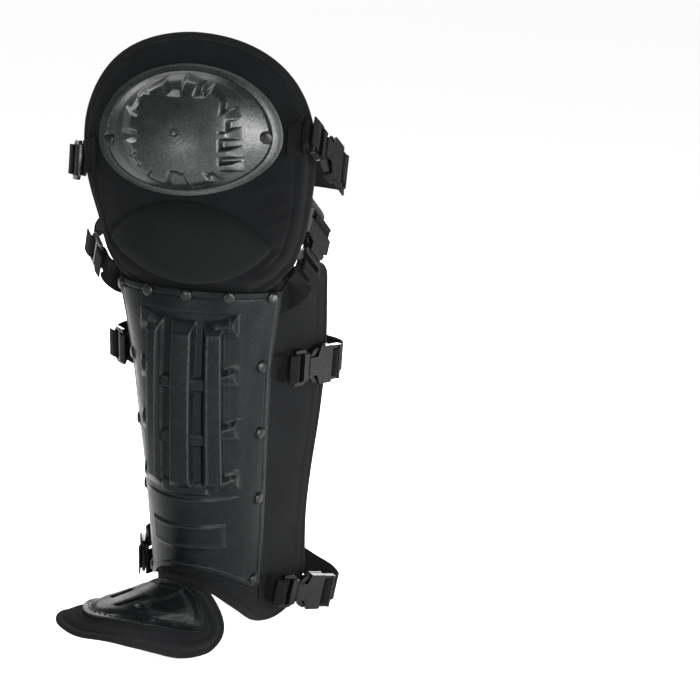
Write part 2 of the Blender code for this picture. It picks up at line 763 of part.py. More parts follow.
def webbing(name, line, across, look, slanted=0):
    """Flat webbing along a line. across holds its width direction at each point, which is made
    square to the line except at the first points, where the webbing is cut on a slant."""
    line = np.array(line, float)
    across = np.array(across, float)
    along = np.gradient(line, axis=0)
    along /= np.linalg.norm(along, axis=1)[:, None]
    lean = along * (across * along).sum(axis=1)[:, None]
    lean[:slanted] = 0
    across = across - lean
    across /= np.linalg.norm(across, axis=1)[:, None]
    thick = np.cross(along, across)
    thick /= np.linalg.norm(thick, axis=1)[:, None]
    wide = across * WEB_WIDTH / 2
    deep = thick * WEB_THICK / 2
    low = line - deep
    high = line + deep
    corners = np.stack([low - wide, low + wide, high + wide, high - wide], axis=1)
    count = len(line)
    faces = [[3, 2, 1, 0], [4 * count - 4 + k for k in range(4)]]
    for i in range(count - 1):
        for j in range(4):
            k = (j + 1) % 4
            faces.append([4 * i + j, 4 * i + k, 4 * i + 4 + k, 4 * i + 4 + j])
    return add_object(name, corners.reshape(-1, 3), faces, look, sharp=50)


def wrap(frame, bar, radius, tail, side):
    """Webbing that comes in on the inner side, turns round a bar and lies back on the outer
    side. side is 1 where it comes from behind the bar and -1 where it comes from beyond it."""
    turn = np.linspace(-math.pi / 2, math.pi / 2, 7)
    u = bar + side * radius * np.cos(turn)
    n = radius * np.sin(turn)
    u = np.append(u, bar - side * tail)
    n = np.append(n, radius)
    return from_frame(frame, u, 0, n)


def prism(name, outline, low, high, frame):
    """A flat outline in a fitting's plane, made solid between two heights. Not linked."""
    count = len(outline)
    outline = np.array(outline, float)
    lower = from_frame(frame, outline[:, 0], outline[:, 1], low)
    upper = from_frame(frame, outline[:, 0], outline[:, 1], high)
    mesh = bpy.data.meshes.new(name)
    faces = [list(range(count))[::-1], list(range(count, 2 * count))]
    for j in range(count):
        k = (j + 1) % count
        faces.append([j, k, count + k, count + j])
    mesh.from_pydata((np.concatenate([lower, upper]) * MM).tolist(), [], faces)
    shape = bmesh.new()
    shape.from_mesh(mesh)
    bmesh.ops.recalc_face_normals(shape, faces=shape.faces)
    shape.to_mesh(mesh)
    shape.free()
    return bpy.data.objects.new(name, mesh)


def box_outline(u0, u1, v0, v1):
    return [(u0, v0), (u1, v0), (u1, v1), (u0, v1)]


def combine(name, solids, cuts, look):
    """One solid from overlapping prisms, less the cuts."""
    body = solids[0]
    body.name = name
    bpy.context.scene.collection.objects.link(body)
    for operation, others in (("UNION", solids[1:]), ("DIFFERENCE", cuts)):
        for other in others:
            bpy.context.scene.collection.objects.link(other)
            step = body.modifiers.new(other.name, "BOOLEAN")
            step.operation = operation
            step.solver = "EXACT"
            step.object = other
    bpy.context.view_layer.update()
    graph = bpy.context.evaluated_depsgraph_get()
    mesh = bpy.data.meshes.new_from_object(body.evaluated_get(graph))
    body.modifiers.clear()
    old = body.data
    body.data = mesh
    bpy.data.meshes.remove(old)
    for other in solids[1:] + cuts:
        bpy.data.objects.remove(other, do_unlink=True)
    body.data.materials.clear()
    body.data.materials.append(look)
    body.data.name = name
    body.data.shade_smooth()
    body.data.set_sharp_from_angle(angle=math.radians(25))
    return body


def make_slider(name, frame, look):
    """Three-bar slider, centred on its frame."""
    half = SLIDER_LONG / 2
    cut = 4.0
    outline = [
        (-half + cut, -SLIDER_HALF), (half - cut, -SLIDER_HALF), (half, -SLIDER_HALF + cut),
        (half, SLIDER_HALF - cut), (half - cut, SLIDER_HALF), (-half + cut, SLIDER_HALF),
        (-half, SLIDER_HALF - cut), (-half, -SLIDER_HALF + cut),
    ]
    body = prism(name, outline, -SLIDER_THICK / 2, SLIDER_THICK / 2, frame)
    cuts = []
    for side in (-1, 1):
        inner = side * BAR / 2
        outer = side * (half - BAR)
        hole = box_outline(min(inner, outer), max(inner, outer), -SLOT_HALF, SLOT_HALF)
        cuts.append(prism(name + "_slot", hole, -9, 9, frame))
    combine(name, [body], cuts, look)


def make_buckle(name, frame, look):
    """Side-release buckle along its frame. The stub's bar is at u = 0, the base and its prongs
    follow, then the body, which ends in two slots and bars for the adjustable webbing."""
    thin = BODY_THICK / 2 - 2.2
    start = BODY_START
    end = start + BODY_LONG
    ring = [(-MALE_BAR, -19), (10, -19), (MALE_BASE, -13), (MALE_BASE, 13), (10, 19), (-MALE_BAR, 19)]
    base = prism(name + "_base", ring, -BASE_THICK / 2, BASE_THICK / 2, frame)
    parts = [base]
    for side in (-1, 1):
        prong = [
            (MALE_BASE - 4, 8.5), (MALE_BASE + 3, 10.0), (MALE_BASE + 6, 14.5), (MALE_BASE + 11.5, 19.5),
            (MALE_BASE + 12.5, 16.5), (MALE_BASE + 9, 12.0), (MALE_BASE + 4, 6.5), (MALE_BASE - 4, 5.5),
        ]
        line = [(u, side * v) for u, v in prong][::side]
        parts.append(prism(name + "_prong", line, -2.2, 2.2, frame))
    tongue = box_outline(MALE_BASE - 3, MALE_BASE + 14, -2.5, 2.5)
    parts.append(prism(name + "_tongue", tongue, -2.0, 2.0, frame))
    slot = prism(name + "_slot", box_outline(MALE_BAR, 9.0, -SLOT_HALF, SLOT_HALF), -9, 9, frame)
    combine(name + "_base", parts, [slot], look)

    cover = [
        (start, -WAIST_HALF), (start + 4, -WAIST_HALF), (start + NOTCH, -BODY_HALF), (end - 15, -BODY_HALF),
        (end - 15, BODY_HALF), (start + NOTCH, BODY_HALF), (start + 4, WAIST_HALF), (start, WAIST_HALF),
    ]
    body = [
        prism(name + "_body", cover, thin, BODY_THICK / 2, frame),
        prism(name + "_back", cover, -BODY_THICK / 2, -thin, frame),
        prism(name + "_block", box_outline(end - 19.5, end - 15.7, -19.9, 19.9), -5.1, 5.1, frame),
        prism(name + "_tail", box_outline(end - 17, end, -18.9, 18.9), -3.1, 3.1, frame),
    ]
    for side in (-1, 1):
        near, far = sorted((side * 17.4, side * 20.2))
        rail = box_outline(start + NOTCH + 0.5, end - 16.3, near, far)
        body.append(prism(name + "_rail", rail, -5.2, 5.2, frame))
    cuts = []
    for u0 in (end - 14.2, end - 6.4):
        hole = box_outline(u0, u0 + 3.6, -SLOT_HALF, SLOT_HALF)
        cuts.append(prism(name + "_slot", hole, -9, 9, frame))
    combine(name + "_body", body, cuts, look)


def ladder_route(frame):
    end = BODY_START + BODY_LONG
    table = np.array(LADDER)
    return from_frame(frame, table[:, 0] + end, 0, table[:, 1])


def tab_line(kind, side, frame):
    """Tab of webbing from the edge of the hard shell over the soft pad to a bar."""
    start_z, end_z, start_place, end_place = (LEFT_TABS if side < 0 else RIGHT_TABS)[kind]
    bar_u = -SLIDER_LONG / 2 + BAR / 2 if side < 0 else 0.0
    radius = SLIDER_WRAP if side < 0 else BASE_WRAP
    surface = knee_surface if kind == "knee" else pad_surface
    place = side * np.linspace(start_place, end_place, 3)
    height = np.linspace(start_z, end_z, 3)
    lift = np.array(TAB_LIFTS[kind])
    start = surface(place, height, lift)
    upward = surface(place, height + 1, lift) - start
    leads = from_frame(frame, np.array([bar_u - 10.0, bar_u - 5.0]), 0, -radius)
    loop = wrap(frame, bar_u, radius, 11.0, 1)
    level = frame[2] * side_sign(frame)
    line = np.vstack([start, leads, loop])
    across = np.vstack([upward, np.tile(level, (len(leads) + len(loop), 1))])
    return line, across


def side_sign(frame):
    return 1.0 if frame[2][2] >= 0 else -1.0


def make_strap(kind, cloth, hard):
    slider = frame_at(*SLIDER_FRAMES[kind])
    buckle = frame_at(*BUCKLE_FRAMES[kind])
    make_slider(kind + "_slider", slider, hard)
    make_buckle(kind + "_buckle", buckle, hard)
    line, across = tab_line(kind, -1, slider)
    webbing(kind + "_left_tab", line, across, cloth, slanted=3)
    line, across = tab_line(kind, 1, buckle)
    webbing(kind + "_right_tab", line, across, cloth, slanted=3)
    bar_u = SLIDER_LONG / 2 - BAR / 2
    start = wrap(slider, bar_u, SLIDER_WRAP, 9.0, -1)[::-1]
    leave = from_frame(slider, np.array([bar_u + 8]), 0, -SLIDER_WRAP)
    finish = ladder_route(buckle)[::-1]
    middle = spline(np.vstack([leave, REAR_ROUTES[kind], finish[:1]]), STRAP_STEPS)
    line = np.vstack([start, middle, finish[1:]])
    first = slider[2] * side_sign(slider)
    last = buckle[2] * side_sign(buckle)
    share = (np.arange(len(line)) - len(start)) / (STRAP_STEPS - 1)
    weight = np.clip(share, 0, 1)[:, None]
    webbing(kind + "_strap", line, first * (1 - weight) + last * weight, cloth)


def make_rivet(name, centre, normal, look):
    """Domed rivet head standing on a shell."""
    sides = 8
    normal = Vector(normal).normalized()
    turned = normal.to_track_quat("Z", "Y").to_matrix()
    profile = ((RIVET_RADIUS, 0.0), (RIVET_RADIUS, 0.7), (RIVET_RADIUS * 0.72, RIVET_HEIGHT * 0.8))
    points = []
    for radius, height in profile:
        for j in range(sides):
            turn = 2 * math.pi * j / sides
            local = Vector((radius * math.cos(turn), radius * math.sin(turn), height + GAP))
            points.append(np.array(centre) + np.array(turned @ local))
    points.append(np.array(centre) + np.array(normal) * (RIVET_HEIGHT + GAP))
    faces = [list(range(sides))[::-1]]
    for i in range(2):
        for j in range(sides):
            k = (j + 1) % sides
            faces.append([i * sides + j, i * sides + k, (i + 1) * sides + k, (i + 1) * sides + j])
    for j in range(sides):
        faces.append([2 * sides + j, 2 * sides + (j + 1) % sides, 3 * sides])
    add_object(name, points, faces, look, sharp=50)


def make_rivets(look):
    for name, (x, z) in PLATE_RIVETS.items():
        place = np.float64(x), np.float64(z)
        spot = plate_surface(*place, RIM_HEIGHT * (z > 120))
        normal = plate_surface(*place, 1.0) - plate_surface(*place, 0.0)
        make_rivet("plate_rivet_" + name, spot, normal, look)
    for name, (x, z) in CAP_RIVETS.items():
        place = np.float64(x), np.float64(z)
        spot = knee_surface(*place, CAP_RIVET_LIFT)
        normal = spot - knee_surface(*place, CAP_RIVET_LIFT - 1.0)
        make_rivet("cap_rivet_" + name, spot, normal + np.array([CAP_RIVET_LEAN * np.sign(x), 0, 0]), look)


def main():
    for old in list(bpy.data.objects):
        bpy.data.objects.remove(old, do_unlink=True)
    shell = material("black_shell", (0.022, 0.024, 0.025), 0.38)
    cloth = material("black_nylon", (0.012, 0.012, 0.013), 0.92)
    foam = material("black_neoprene", (0.010, 0.011, 0.011), 0.88)
    tape = material("black_binding", (0.014, 0.014, 0.015), 0.85)
    web = material("black_webbing", (0.018, 0.018, 0.018), 0.8)
    fitting = material("black_acetal", (0.020, 0.020, 0.021), 0.3)
    rivet = material("black_rivet", (0.03, 0.03, 0.03), 0.3)
    make_knee_pad(cloth, tape)
    make_knee_cap(shell)
    make_knee_roll(foam)
    make_shin_pad(cloth, tape)
    make_shin_plate(shell)
    make_rivets(rivet)
    make_foot_pad(cloth, tape)
    make_foot_cap(shell)
    make_foot_hinge(web)
    for kind in SLIDER_FRAMES:
        make_strap(kind, web, fitting)


main()
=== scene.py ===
import math

import bmesh
import bpy
import numpy as np
from mathutils import Matrix, Vector


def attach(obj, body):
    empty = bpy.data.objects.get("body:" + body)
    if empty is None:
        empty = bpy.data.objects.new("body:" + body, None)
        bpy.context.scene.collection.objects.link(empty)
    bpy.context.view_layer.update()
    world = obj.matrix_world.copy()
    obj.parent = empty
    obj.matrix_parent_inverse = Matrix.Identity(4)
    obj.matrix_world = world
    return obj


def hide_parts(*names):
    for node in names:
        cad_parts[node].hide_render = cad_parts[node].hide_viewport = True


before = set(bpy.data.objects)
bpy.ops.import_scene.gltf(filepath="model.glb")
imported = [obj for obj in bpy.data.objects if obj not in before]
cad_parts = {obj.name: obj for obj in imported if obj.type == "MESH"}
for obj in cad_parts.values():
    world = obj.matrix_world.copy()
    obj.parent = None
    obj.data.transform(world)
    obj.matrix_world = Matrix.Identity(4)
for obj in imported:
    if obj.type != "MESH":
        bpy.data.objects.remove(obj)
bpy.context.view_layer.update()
mm = 0.001
arcHalf = math.radians(72)
print("frame loaded")


# lengths are in millimetres; z runs up the leg and the front of the shin faces -y

# z; half width of the plate, y of its edge, y of its front; x and y of the wing's free edge
shinRows = (
    (160, 89, -27, -57, 112.5, 42), (138, 86.5, -26, -60, 112, 45), (98, 80.5, -23, -66, 111.5, 49),
    (60, 75.5, -20, -69, 110.5, 53), (-12, 70.5, -13.5, -71, 104.5, 59), (-90, 66, -5, -68, 94, 67),
    (-140, 63.7, -2, -63, 89, 72), (-205, 61, 2, -57, 88, 76), (-255, 60, 4, -54, 88, 77),
)
# z, left edge x, right edge x, edge y, front y
kneeRows = (
    (395, 110, 113, -26, -47), (345, 112, 116, -33, -55), (285, 115.5, 117, -40, -62),
    (240, 111.5, 115, -42, -66), (205, 103.5, 110, -40, -67), (170, 96, 98.5, -36, -63),
    (151, 90, 92, -31, -58.5), (141, 82.3, 82.8, -25.4, -55), (125, 80.5, 80.5, -22.8, -54.2),
)
# s along the foot, ridge z, half width, edge z
footRows = (
    (-40, -176, 46, -230), (0, -173, 48, -235), (30, -176, 47.5, -228), (60, -178, 45, -211),
    (90, -178, 41, -194), (120, -178, 35, -182), (150, -180, 27, -180),
)
padInset = 4.6  # from the plate's outer face to the shin panel's
padArc = 0.54  # share of the shin panel's half width that lies behind the plate
footHinge = (-8.0, -62.0)  # x, y of the instep guard's rear
footTwist = math.radians(32)  # its turn to the side
footSpan = math.radians(78)  # half the angle of its arch


def readTable(rows, at):
    # every column of a table at the given values of its first column: cubics through the rows
    table = np.array(sorted(rows), float)
    knots = table[:, 0]
    at = np.clip(np.asarray(at, float), knots[0], knots[-1])
    k = np.clip(np.searchsorted(knots, at, side="right") - 1, 0, len(knots) - 2)
    step = (knots[k + 1] - knots[k])[..., None]
    w = (at - knots[k])[..., None] / step
    slope = np.gradient(table, knots, axis=0)
    rise = table[k + 1] - table[k]
    first = slope[k] * step
    last = slope[k + 1] * step
    found = table[k] + first * w + (3 * rise - 2 * first - last) * w**2 + (first + last - 2 * rise) * w**3
    return [found[..., i] for i in range(1, table.shape[1])]


def arcAt(angle, half, edgeY, frontY):
    # elliptic arc: x = A sin t, y = front + B (1 - cos t), with its outward normal
    across = half / math.sin(arcHalf)
    deep = (edgeY - frontY) / (1 - math.cos(arcHalf))
    nx = deep * np.sin(angle)
    ny = -across * np.cos(angle)
    long = np.hypot(nx, ny)
    return across * np.sin(angle), frontY + deep * (1 - np.cos(angle)), nx / long, ny / long


def lifted(x, y, nx, ny, z, lift):
    # a point moved out along its level normal
    return np.stack([x + nx * lift, y + ny * lift, z + 0 * x], axis=-1)


def angleOf(x, half):
    return np.arcsin(np.clip(x / half, -1, 1) * math.sin(arcHalf))


def plateAt(x, z, lift):
    # outer face of the shin plate at x, z
    half, edgeY, frontY = readTable(shinRows, z)[:3]
    return lifted(*arcAt(angleOf(x, half), half, edgeY, frontY), z, lift)


def kneeAt(x, z, lift):
    # outer face of the knee panel at x, z
    left, right, edgeY, frontY = readTable(kneeRows, z)
    half = np.where(x < 0, left, right)
    return lifted(*arcAt(angleOf(x, half), half, edgeY, frontY), z, lift)


def padAt(q, z, lift):
    # outer face of the shin pad: an arc behind the plate, then a wing on a cubic to its free edge
    half, edgeY, frontY, wingX, wingY = readTable(shinRows, z)
    side = np.where(q < 0, -1.0, 1.0)
    reach = np.abs(q)
    ax, ay, anx, anY = arcAt(np.minimum(reach / padArc, 1) * arcHalf, half, edgeY, frontY)
    ax = ax - anx * padInset
    ay = ay - anY * padInset
    w = np.clip((reach - padArc) / (1 - padArc), 0, 1)
    ex = wingX - ax
    ey = wingY - ay
    long = np.hypot(ex, ey)
    bend, blend, close = w**3 - 2 * w**2 + w, 3 * w**2 - 2 * w**3, w**3 - w**2
    dBend, dBlend, dClose = 3 * w**2 - 4 * w + 1, 6 * w - 6 * w**2, 3 * w**2 - 2 * w
    wx = ax - anY * long * bend + ex * blend + ex * 0.95 * close
    wy = ay + anx * long * bend + ey * blend + ey * 1.02 * close
    dx = -anY * long * dBend + ex * dBlend + ex * 0.95 * dClose
    dy = anx * long * dBend + ey * dBlend + ey * 1.02 * dClose
    step = np.hypot(dx, dy)
    onArc = reach <= padArc
    nx = np.where(onArc, anx, dy / step)
    ny = np.where(onArc, anY, -dx / step)
    return lifted(side * np.where(onArc, ax, wx), np.where(onArc, ay, wy), side * nx, ny, z, lift)


def footAt(s, u, lift):
    # outer face of the instep guard: an arch u = -1..1 wide, s forward of its hinge, turned with the foot
    ridge, half, edge = readTable(footRows, s)
    angle = u * footSpan
    wide = half / math.sin(footSpan)
    tall = (ridge - edge) / (1 - math.cos(footSpan))
    nw = tall * np.sin(angle)
    nz = wide * np.cos(angle)
    long = np.hypot(nw, nz)
    w = wide * np.sin(angle) + nw / long * lift
    z = ridge - tall * (1 - np.cos(angle)) + nz / long * lift
    x = footHinge[0] - math.sin(footTwist) * s + math.cos(footTwist) * w
    y = footHinge[1] - math.cos(footTwist) * s - math.sin(footTwist) * w
    return np.stack([x, y, z], axis=-1)


def softStep(distance, width):
    # 0 to 1 over a width, with round ends
    t = np.clip(distance / width, 0, 1)
    return t * t * (3 - 2 * t)


def bevelStep(distance, width):
    # 0 to 1 over a width as a straight wall with slightly rounded ends
    t = np.clip(distance / width, 0, 1)
    return 0.65 * t + 0.35 * softStep(distance, width)


def hump(distance, wide):
    # a soft ridge, 1 at its middle
    return np.exp(-((distance / wide) ** 2))


def block(x, z, x0, x1, z0, z1, slopeX, slopeZ):
    # flat-topped block: 1 between its edges, sloping to 0 outside them
    return np.minimum(
        bevelStep(np.minimum(x - x0, x1 - x) + slopeX, slopeX),
        bevelStep(np.minimum(z - z0, z1 - z) + slopeZ, slopeZ),
    )


def gridLines(low, high, breaks, coarse, fine, reach):
    # even lines, with closer ones round each break
    lines = [np.linspace(low, high, int((high - low) / coarse) + 2)]
    for at in breaks:
        lines.append(np.arange(at - reach, at + reach + 0.01, fine))
    found = np.unique(np.round(np.clip(np.concatenate(lines), low, high), 2))
    keep = np.concatenate([[True], np.diff(found) > fine * 0.45])
    return found[keep]


def crowded(count):
    # -1 to 1 with closer steps at both ends
    return np.sin(np.linspace(-1, 1, count) * math.pi / 2)


def circle(count):
    return np.linspace(0, 2 * math.pi, count, endpoint=False)


def unit(v):
    return v / np.linalg.norm(v, axis=-1, keepdims=True)


def runOf(line):
    # length along a line up to each of its points
    return np.concatenate([[0], np.cumsum(np.linalg.norm(np.diff(line, axis=0), axis=1))])


def loopAlong(line):
    # direction of a closed line at each point
    return unit(np.roll(line, -1, axis=0) - np.roll(line, 1, axis=0))


def gridQuads(rows, cols, loop=False, first=0):
    # quads of a grid of points; loop joins the last column to the first
    i, j = np.meshgrid(np.arange(rows - 1), np.arange(cols if loop else cols - 1), indexing="ij")
    k = (j + 1) % cols
    corners = [i * cols + j, i * cols + k, (i + 1) * cols + k, (i + 1) * cols + j]
    return first + np.stack(corners, -1).reshape(-1, 4)


def rimOrder(rows, cols):
    # numbers of a grid's border points, once round
    return np.concatenate([
        np.arange(cols - 1),
        np.arange(rows - 1) * cols + cols - 1,
        (rows - 1) * cols + np.arange(cols - 1, 0, -1),
        np.arange(rows - 1, 0, -1) * cols,
    ])


def newObject(name, data):
    made = bpy.data.objects.new(name, data)
    bpy.context.scene.collection.objects.link(made)
    return made


def cleanMesh(mesh, merge=True, flatten=False):
    # doubles merged, the triangles of flat faces joined, and all faces turned outwards
    shape = bmesh.new()
    shape.from_mesh(mesh)
    if merge:
        bmesh.ops.remove_doubles(shape, verts=shape.verts, dist=2e-6)
    if flatten:
        bmesh.ops.dissolve_limit(shape, angle_limit=math.radians(2), verts=shape.verts, edges=shape.edges)
    bmesh.ops.recalc_face_normals(shape, faces=shape.faces)
    shape.to_mesh(mesh)
    shape.free()


def addPiece(name, points, faces, look, replaces=(), uv=None, sharp=40, wearAndHighlight=None):
    # a mesh piece from points in millimetres
    mesh = bpy.data.meshes.new(name)
    mesh.from_pydata((np.asarray(points) * mm).tolist(), [], [list(f) for f in faces])
    if uv is not None:
        corner = np.zeros(len(mesh.loops), int)
        mesh.loops.foreach_get("vertex_index", corner)
        mesh.uv_layers.new(name="UVMap").data.foreach_set("uv", np.asarray(uv, np.float32)[corner].ravel())
    # per-point amount of paler edge colour: partly wear, partly a painted edge highlight
    if wearAndHighlight is not None:
        wornAndLit = mesh.attributes.new("wearAndHighlight", "FLOAT", "POINT")
        wornAndLit.data.foreach_set("value", np.asarray(wearAndHighlight, np.float32))
    cleanMesh(mesh)
    mesh.materials.append(look)
    mesh.shade_smooth()
    mesh.set_sharp_from_angle(angle=math.radians(sharp))
    return settle(newObject(name, mesh), replaces)


def settle(piece, replaces):
    # the piece goes with the guard's one body and stands for its solids
    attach(piece, "root")
    if replaces:
        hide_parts(*replaces)
    return piece


def arcUv(grid):
    # cloth coordinates in millimetres: length along each row from its middle, and along each column
    across = np.zeros(grid.shape[:2])
    across[:, 1:] = np.cumsum(np.linalg.norm(np.diff(grid, axis=1), axis=2), axis=1)
    across -= across[:, across.shape[1] // 2][:, None]
    along = np.zeros(grid.shape[:2])
    along[1:] = np.cumsum(np.linalg.norm(np.diff(grid, axis=0), axis=2), axis=0)
    return np.stack([across, along], axis=-1)


def edgeDistance(grid):
    # how far every grid point is from the grid's own border
    rim = grid.reshape(-1, 3)[rimOrder(*grid.shape[:2])]
    return np.array([np.linalg.norm(row[:, None] - rim[None], axis=2).min(axis=1) for row in grid])


def wallPiece(name, outer, inner, look, replaces, bulge, turns, sharp, wearAndHighlight=None):
    # closed wall between two grids; its border is rounded out by bulge with a few turns
    rows, cols = outer.shape[:2]
    count = rows * cols
    rim = rimOrder(rows, cols)
    out = outer.reshape(-1, 3)
    inn = inner.reshape(-1, 3)
    middle = (out[rim] + inn[rim]) / 2
    half = (out[rim] - inn[rim]) / 2
    along = np.roll(middle, -1, axis=0) - np.roll(middle, 1, axis=0)
    away = np.cross(along, half)
    away /= np.linalg.norm(away, axis=1)[:, None]
    away *= np.sign((away * (middle - middle.mean(axis=0))).sum())
    angles = np.linspace(90, -90, turns + 2)[1:-1] * math.pi / 180
    rings = [middle + half * math.sin(a) + away * bulge * math.cos(a) for a in angles]
    points = np.concatenate([out, inn] + rings)
    n = len(rim)
    order = [rim] + [2 * count + k * n + np.arange(n) for k in range(turns)] + [rim + count]
    bands = [np.stack([a, np.roll(a, -1), np.roll(b, -1), b], -1) for a, b in zip(order, order[1:])]
    faces = np.concatenate([gridQuads(rows, cols), gridQuads(rows, cols, first=count)] + bands)
    flat = arcUv(outer).reshape(-1, 2)
    uv = np.concatenate([flat, flat] + [flat[rim]] * turns)
    # the rounded border is painted paler too: a painted edge highlight with some wear
    if wearAndHighlight is not None:
        wearAndHighlight = np.concatenate([wearAndHighlight.ravel(), 0 * wearAndHighlight.ravel()] + [0.6 + 0 * rim] * turns)
    return addPiece(name, points, faces, look, replaces, uv, sharp, wearAndHighlight)


def sweepPiece(name, line, sideways, outward, profile, look, replaces=(), closed=False, sharp=40):
    # a profile carried along a path: point = path + a sideways + b outward
    profile = np.array(profile, float)
    a, b = profile[None, :, :1], profile[None, :, 1:]
    grid = line[:, None] + a * sideways[:, None] + b * outward[:, None]
    rows, cols = grid.shape[:2]
    # cloth coordinates: across the profile and along the path
    uv = np.stack(np.broadcast_arrays(profile[None, :, 0], runOf(line)[:, None]), -1)
    faces = gridQuads(rows, cols, loop=True).tolist()
    if closed:
        last = (rows - 1) * cols
        j = np.arange(cols)
        k = (j + 1) % cols
        faces += np.stack([last + j, last + k, k, j], -1).tolist()
    else:
        faces += [list(range(cols))[::-1], list(range((rows - 1) * cols, rows * cols))]
    return addPiece(name, grid.reshape(-1, 3), faces, look, replaces, uv.reshape(-1, 2), sharp)


def evenLoop(points, step):
    # a closed line read again at even steps of its length
    points = np.vstack([points, points[:1]])
    run = runOf(points)
    at = np.linspace(0, run[-1], max(int(run[-1] / step), 4) + 1)[:-1]
    return np.column_stack([np.interp(at, run, points[:, k]) for k in range(points.shape[1])])


def smoothed(values, times, loop=True):
    # repeated averaging with both neighbours
    for _ in range(times):
        if loop:
            values = (np.roll(values, 1, axis=0) + 2 * values + np.roll(values, -1, axis=0)) / 4
        else:
            values[1:-1] = (values[:-2] + 2 * values[1:-1] + values[2:]) / 4
    return values


def stitchPiece(name, line, outward, pitch, long, radius):
    # a closed row of short threads: each is a six-sided rod whose ends dip into the cloth
    both = evenLoop(np.hstack([line, outward]), pitch)
    centre = both[:, :3]
    normal = unit(both[:, 3:])
    along = loopAlong(centre)
    side = unit(np.cross(along, normal))
    # along each thread: share of its length, how far it stands out, how thick it is
    share, dip, wide = np.array([
        (-0.5, -0.34, 0.0, 0.34, 0.5), (-0.8, 0.1, 0.35, 0.1, -0.8), (0.5, 0.95, 1.0, 0.95, 0.5),
    ])
    dip, wide = dip * radius, wide * radius
    turn = np.arange(6) * math.pi / 3
    points = (
        centre[:, None, None]
        + share[None, :, None, None] * long * along[:, None, None]
        + (dip[:, None] + wide[:, None] * np.sin(turn))[None, :, :, None] * normal[:, None, None]
        + (wide[:, None] * np.cos(turn))[None, :, :, None] * side[:, None, None]
    )
    first = 30 * np.arange(len(centre))
    faces = (gridQuads(5, 6, loop=True)[None] + first[:, None, None]).reshape(-1, 4).tolist()
    for k in first.tolist():
        faces += [list(range(k + 5, k - 1, -1)), list(range(k + 24, k + 30))]
    return addPiece(name, points.reshape(-1, 3), faces, thread, sharp=80)


def newLook(name, colour, rough, **more):
    look = bpy.data.materials.new(name)
    look.use_nodes = True
    shader = look.node_tree.nodes["Principled BSDF"]
    shader.inputs["Base Color"].default_value = (*colour, 1)
    shader.inputs["Roughness"].default_value = rough
    for key, value in more.items():
        shader.inputs[key.replace("_", " ")].default_value = value
    return look


def addNode(look, kind, inputs, **settings):
    made = look.node_tree.nodes.new("ShaderNode" + kind)
    for key, value in settings.items():
        setattr(made, key, value)
    for key, value in inputs.items():
        if isinstance(value, bpy.types.NodeSocket):
            look.node_tree.links.new(value, made.inputs[key])
        else:
            made.inputs[key].default_value = value
    return made


def feed(look, key, socket):
    shader = look.node_tree.nodes["Principled BSDF"]
    look.node_tree.links.new(socket, shader.inputs[key])


def objectNoise(look, scale, detail=3.0):
    place = addNode(look, "TexCoord", {})
    return addNode(look, "TexNoise", {
        "Vector": place.outputs["Object"], "Scale": scale, "Detail": detail, "Roughness": 0.55,
    }).outputs["Fac"]


def ramp(look, socket, low, high, fromLow=0.3, fromHigh=0.7):
    # a value turned to another range
    return addNode(look, "MapRange", {
        "Value": socket, "From Min": fromLow, "From Max": fromHigh, "To Min": low, "To Max": high,
    }).outputs["Result"]


def mixed(look, factor, first, second):
    # two colours by a factor; the first may come from another node
    made = addNode(look, "Mix", {0: factor}, data_type="RGBA")
    for key, colour in ((6, first), (7, second)):
        if isinstance(colour, bpy.types.NodeSocket):
            look.node_tree.links.new(colour, made.inputs[key])
        else:
            made.inputs[key].default_value = (*colour, 1)
    return made.outputs[2]


def ripple(look, axis, pitch):
    # a sine across the cloth's own millimetre coordinates
    place = addNode(look, "TexCoord", {})
    split = addNode(look, "SeparateXYZ", {0: place.outputs["UV"]})
    wide = addNode(look, "Math", {0: split.outputs[axis], 1: 2 * math.pi / pitch}, operation="MULTIPLY")
    return addNode(look, "Math", {0: wide.outputs[0]}, operation="SINE").outputs[0]


def combined(look, operation, a, b):
    return addNode(look, "Math", {0: a, 1: b}, operation=operation).outputs[0]


def bumped(look, height, distance, strength, under=None):
    inputs = {"Height": height, "Distance": distance, "Strength": strength}
    if under is not None:
        inputs["Normal"] = under
    return addNode(look, "Bump", inputs).outputs["Normal"]


def shades(colour, *factors):
    return [[c * k for c in colour] for k in factors]


def shellLook(name, colour, rough, gloss):
    # moulded sheet plastic: pebble grain, cloudy gloss, paler edges that are partly wear and partly a
    # painted edge highlight
    look = newLook(name, colour, rough, Specular_IOR_Level=gloss)
    base = mixed(look, ramp(look, objectNoise(look, 28, 4), 0.0, 1.0), *shades(colour, 1, 1.35))
    # edges mixed towards a paler colour: scuffed wear and a painted highlight where the edges would catch
    # the light
    wornAndLit = addNode(look, "Attribute", {}, attribute_name="wearAndHighlight").outputs["Fac"]
    scuffAndHighlight = combined(look, "MULTIPLY", wornAndLit, ramp(look, objectNoise(look, 220, 3), 0.2, 1.0))
    feed(look, "Base Color", mixed(look, scuffAndHighlight, base, wornAndHighlightColour))
    feed(look, "Roughness", ramp(look, objectNoise(look, 75, 4), rough - 0.06, rough + 0.08))
    feed(look, "Specular IOR Level", ramp(look, objectNoise(look, 620, 3), gloss * 0.62, gloss * 1.45))
    place = addNode(look, "TexCoord", {}).outputs["Object"]
    pebbles = addNode(look, "TexVoronoi", {"Vector": place, "Scale": 850.0}, feature="SMOOTH_F1")
    grain = bumped(look, pebbles.outputs["Distance"], 0.00016, 0.5)
    feed(look, "Normal", bumped(look, objectNoise(look, 2600, 2), 0.00006, 0.3, grain))
    return look


